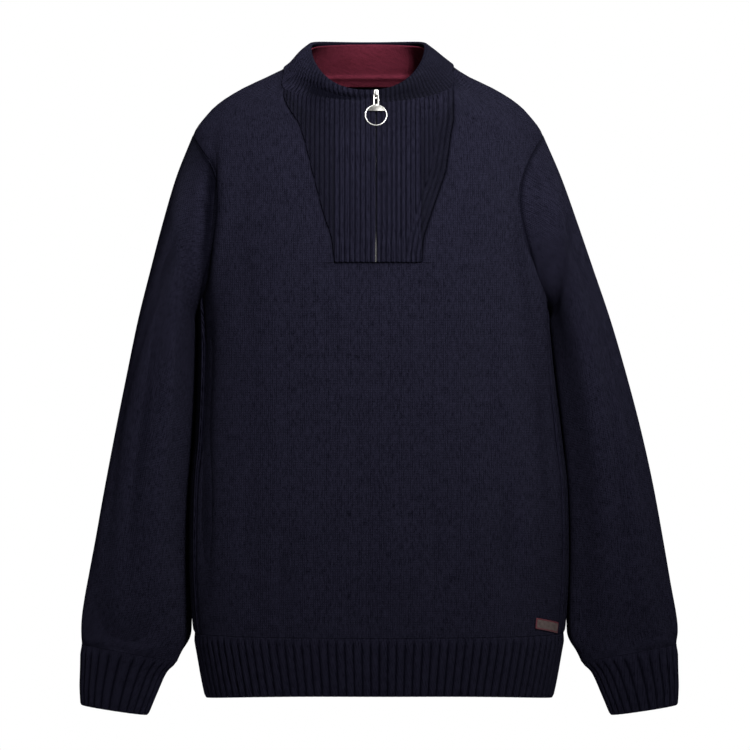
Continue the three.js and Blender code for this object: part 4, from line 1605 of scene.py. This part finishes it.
@dataclass
class Zip:
    """Tapes, interlocked teeth, slider and ring pull."""

    slider_level: float = 34.0
    plate_half: float = 2.7
    plate_height: float = 11.0
    plate_near: float = 1.7
    plate_far: float = 2.9
    hole: float = 2.9
    pin_drop: float = -1.8
    pull_tilt: float = -0.03
    ring_radius: float = 11.6
    wire: float = 0.9
    ring_drop: float = 23.0
    chord: float = 5.0
    tooth_pitch: float = 1.6
    tape_near: float = 0.4
    tape_far: float = 12.0
    tape_depth: float = 3.9

    def seat(self) -> Matrix:
        """Frame of the slider: its place and slope on the collar's middle."""
        turn = FORM.turn_at_x(np.array(0.0), self.slider_level)
        point = FORM.point(turn, self.slider_level)
        normal = FORM.normal(turn, self.slider_level)
        slope = Matrix.Rotation(-math.asin(float(normal[2])), 4, "X")
        return Matrix.Translation(Vector(point) * MM) @ slope

    def build(self) -> list:
        """Build and dress all zip pieces."""
        return [*self._tapes(), self._teeth(), self._slider(), self._pull()]

    def _tapes(self) -> list:
        """Woven tape on each side, behind the collar's edges."""
        pieces = []
        levels = np.linspace(INSERT_BOTTOM + 1, 40, 60)[:, None]
        for hand in Hand:
            shares = np.linspace(self.tape_near, self.tape_far, 7)
            xs = (hand.value * shares)[:: hand.value][None, :] + np.zeros_like(levels)
            turns = FORM.turn_at_x(xs, levels)
            points, normals = FORM.point(turns, levels), FORM.normal(turns, levels)
            flat = np.zeros(xs.shape)
            across, along = knit_coordinates(points, False, None)
            cloth = Cloth(points, normals, across, along, flat, flat, flat == 0, wall=0.8,
                          offset=-self.tape_depth)
            name = f"tape_{hand.name.lower()}"
            mesh = outwards(cloth.mesh(name))
            piece = put_on(name, mesh, TAPE, (f"zip_{name}",))
            pieces.append(piece)
        return pieces

    def _teeth(self) -> bpy.types.Object:
        """Interlocked metal teeth, one modelled and copied up the zip."""
        tooth = Workbench.block((1.9, 1.5, 0.95), (0, 0, 0))
        bpy.ops.object.mode_set(mode="EDIT")
        bpy.ops.mesh.select_all(action="SELECT")
        bpy.ops.mesh.subdivide(number_cuts=1)
        bpy.ops.object.mode_set(mode="OBJECT")
        for vertex in tooth.data.vertices:
            if vertex.co.x > 0.0009 and abs(vertex.co.z) > 0.0004:
                vertex.co.z *= 0.55
        Workbench.bevel(tooth, 0.16, 1)
        count = int((34 - 5 - INSERT_BOTTOM) / self.tooth_pitch)
        copies = []
        for i in range(2 * count):
            side = 1 if i % 2 else -1
            level = INSERT_BOTTOM + 1.5 + self.tooth_pitch * i / 2
            if level > 30:
                break
            turn = FORM.turn_at_x(np.array(side * 0.62), level)
            point, normal = FORM.point(turn, level), FORM.normal(turn, level)
            slope = Matrix.Rotation(-math.asin(float(normal[2])), 4, "X")
            place = Vector(point + normal * -2.5) * MM
            turned = Matrix.Rotation(math.pi if side > 0 else 0.0, 4, "Z")
            mesh = tooth.data.copy()
            mesh.transform(Matrix.Translation(place) @ slope @ turned)
            copy = bpy.data.objects.new("tooth", mesh)
            bpy.context.collection.objects.link(copy)
            copies.append(copy)
        bpy.data.objects.remove(tooth)
        joined = Workbench.join(copies, "zip_teeth")
        self._dress(joined, "zip_chain", GARMENT)
        return joined

    @staticmethod
    def _dress(piece: bpy.types.Object, node: str, body: str,
               finish: MetalFinish | None = None) -> None:
        """Give a hard piece its metal, body and node."""
        piece.data.materials.clear()
        piece.data.materials.append(WARDROBE.get(finish or METAL))
        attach(piece, body)
        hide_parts(node)
        LOG.info("%s: %d faces", piece.name, len(piece.data.polygons))

    def _slider(self) -> bpy.types.Object:
        """Slider plate with rounded crown, stem and spun arch."""
        thickness = self.plate_far - self.plate_near
        middle = -(self.plate_far + self.plate_near) / 2
        plate = Workbench.block((2 * self.plate_half, thickness, self.plate_height),
                                (0, middle, 0))
        bpy.ops.object.mode_set(mode="EDIT")
        bpy.ops.mesh.select_all(action="SELECT")
        bpy.ops.mesh.subdivide(number_cuts=5)
        bpy.ops.object.mode_set(mode="OBJECT")
        half_height = self.plate_height * MM / 2
        for vertex in plate.data.vertices:
            t = vertex.co.z / half_height
            rounded = math.sqrt(max(1 - (t - 0.4) ** 2 * 1.5, 0.2))
            vertex.co.x *= 0.86 + 0.14 * t if t < 0.4 else rounded
        Workbench.bevel(plate, 0.3, 2)
        stem = Workbench.block((1.3, 2.2, 7.0), (0, -self.plate_near + 0.6, 0))
        arch = self._arch()
        slider = Workbench.join([plate, stem, arch], "slider_body")
        slider.data.transform(self.seat())
        # The slider gets the darker metal, painted shade for the slot behind the pull's arms.
        self._dress(slider, "zip_slider", GARMENT, SLIDER_METAL_PAINTED_SHADE)
        return slider

    def _arch(self) -> bpy.types.Object:
        """Arch over the pull's pin, spun from a small rounded profile."""
        radius = 3.2
        Workbench.clear()
        bpy.ops.mesh.primitive_plane_add(size=1, location=(0, 0, 0))
        arch = bpy.context.object
        arch.data.transform(Matrix.Diagonal((1.5 * MM, 1.0 * MM, 1, 1)))
        start = Vector((0, -self.plate_far + 0.3, radius)) * MM
        arch.data.transform(Matrix.Translation(start) @ Matrix.Rotation(QUARTER, 4, "X"))
        arch.data.transform(Matrix.Translation(start) @ Matrix.Rotation(-QUARTER, 4, "X")
                            @ Matrix.Translation(-start))
        bpy.ops.object.mode_set(mode="EDIT")
        bpy.ops.mesh.select_all(action="SELECT")
        bpy.ops.transform.rotate(value=QUARTER, orient_axis="X", center_override=start)
        bpy.ops.mesh.spin(steps=18, angle=math.pi, center=(0, start.y, 0), axis=(1, 0, 0))
        bpy.ops.mesh.select_all(action="SELECT")
        bpy.ops.mesh.remove_doubles(threshold=0.00001)
        bpy.ops.mesh.normals_make_consistent(inside=False)
        bpy.ops.object.mode_set(mode="OBJECT")
        if max(v.co.y for v in arch.data.vertices) > start.y + 0.001:
            there, back = (Matrix.Translation((0, v, 0)) for v in (start.y, -start.y))
            arch.data.transform(there @ Matrix.Scale(-1, 4, (0, 1, 0)) @ back)
            arch.data.flip_normals()
        Workbench.bevel(arch, 0.2, 2)
        return arch

    def _pull(self) -> bpy.types.Object:
        """Forked pull with a ring and a plain filled segment."""
        Workbench.clear()
        bpy.ops.mesh.primitive_torus_add(major_segments=96, minor_segments=16,
                                         major_radius=self.ring_radius * MM,
                                         minor_radius=self.wire * MM)
        ring = bpy.context.object
        ring.data.transform(Matrix.Rotation(QUARTER, 4, "X"))
        centre = Vector((0, 0, -self.ring_drop)) * MM
        ring.data.transform(Matrix.Translation(centre))
        Workbench.clear()
        bpy.ops.mesh.primitive_cylinder_add(vertices=96, radius=self.ring_radius * MM,
                                            depth=1.15 * MM)
        disc = bpy.context.object
        disc.data.transform(Matrix.Translation(centre) @ Matrix.Rotation(QUARTER, 4, "X"))
        bpy.ops.object.mode_set(mode="EDIT")
        bpy.ops.mesh.select_all(action="SELECT")
        cut = centre + Vector((0, 0, self.chord * MM))
        bpy.ops.mesh.bisect(plane_co=cut, plane_no=(0, 0, 1), use_fill=True, clear_inner=True)
        bpy.ops.object.mode_set(mode="OBJECT")
        Workbench.bevel(disc, 0.25, 2)
        foot = -self.ring_drop + self.ring_radius * 0.93
        arms = []
        for side in (-1, 1):
            arm = Workbench.block((1.6, 1.5, 0.9 - foot), (side * 2.4, 0, (0.9 + foot) / 2))
            Workbench.bevel(arm, 0.4, 3)
            arms.append(arm)
        bridge = Workbench.block((6.0, 1.4, 2.6), (0, 0, foot + 0.9))
        Workbench.bevel(bridge, 0.3, 2)
        Workbench.clear()
        bpy.ops.mesh.primitive_cylinder_add(vertices=24, radius=0.75 * MM, depth=4.4 * MM)
        pin = bpy.context.object
        pin.data.transform(Matrix.Rotation(QUARTER, 4, "Y"))
        pull = Workbench.join([ring, disc, *arms, bridge, pin], "ring_pull")
        offset = Vector((0, -self.plate_far - self.hole / 2, self.pin_drop)) * MM
        tilt = Matrix.Rotation(self.pull_tilt, 4, "X")
        pull.data.transform(self.seat() @ Matrix.Translation(offset) @ tilt)
        self._dress(pull, "zip_pull", PULL)
        return pull


@dataclass
class Studio:
    """Camera, soft lights, pale floor and white surround."""

    picture_middle: tuple = (-1.1, -318.6)
    picture_width: float = 832.5
    distance: float = 5000.0
    sensor: float = 36.0
    floor_level: float = -1000.0
    floor_radius: float = 2600.0

    def build(self) -> None:
        """Make camera, lights and stage."""
        bpy.context.scene.view_settings.view_transform = "Standard"
        self._camera()
        self._stage()
        self._lights()

    def _camera(self) -> None:
        """Camera at the photograph's level view of the front."""
        data = bpy.data.cameras.new("camera")
        data.sensor_width = self.sensor
        data.lens = self.sensor * self.distance / self.picture_width
        data.clip_end = 50.0
        camera = bpy.data.objects.new("camera", data)
        x, z = self.picture_middle
        camera.location = Vector((x, -self.distance, z)) * MM
        camera.rotation_euler = (QUARTER, 0, 0)
        bpy.context.collection.objects.link(camera)
        bpy.context.scene.camera = camera

    def _stage(self) -> None:
        """Pale round floor under the hanging garment."""
        finish = PlainFinish("studio_white", (0.86, 0.86, 0.86), (0.9, 0.9, 0.9))
        Workbench.clear()
        bpy.ops.mesh.primitive_circle_add(vertices=96, radius=self.floor_radius * MM,
                                          fill_type="NGON")
        floor = bpy.context.object
        floor.name = "studio_floor"
        floor.data.transform(Matrix.Translation((0, 0, self.floor_level * MM)))
        floor.data.materials.append(WARDROBE.get(finish))

    @staticmethod
    def _area(name: str, place: tuple, target: tuple, size: float, watts: float,
              spread: float = 180.0) -> None:
        """Soft square light that looks at a target."""
        data = bpy.data.lights.new(name, "AREA")
        data.size = size
        data.spread = math.radians(spread)
        data.energy = watts
        light = bpy.data.objects.new(name, data)
        light.location = place
        direction = Vector(target) - Vector(place)
        light.rotation_euler = direction.to_track_quat("-Z", "Y").to_euler()
        bpy.context.collection.objects.link(light)

    def _lights(self) -> None:
        """Soft key from the upper right and a back lamp, in a white surround."""
        self._area("back_lamp", (0.9, 3.0, 1.9), (0.0, 0.0, -0.2), 0.8, 34.0, 50.0)
        self._area("key", (0.8, -2.4, 1.5), (0.0, 0.0, -0.02), 0.6, 21.0, 30.0)
        world = bpy.data.worlds.new("studio")
        world.use_nodes = True
        background = world.node_tree.nodes["Background"]
        background.inputs["Color"].default_value = (1.0, 1.0, 1.0, 1.0)
        background.inputs["Strength"].default_value = 1.0
        bpy.context.scene.world = world


def main() -> None:
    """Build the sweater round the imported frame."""
    logging.basicConfig(level=logging.INFO, format="%(message)s")
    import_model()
    Studio().build()
    FrontPanel().build()
    BackPanel().build()
    HemRib(Facing.FRONT).build()
    HemRib(Facing.BACK).build()
    for hand in Hand:
        SidePanel(hand).build()
        Sleeve(hand).build()
    Collar().build()
    CollarLining().build()
    Zip().build()
    Label().build()


if __name__ == "__main__":
    main()
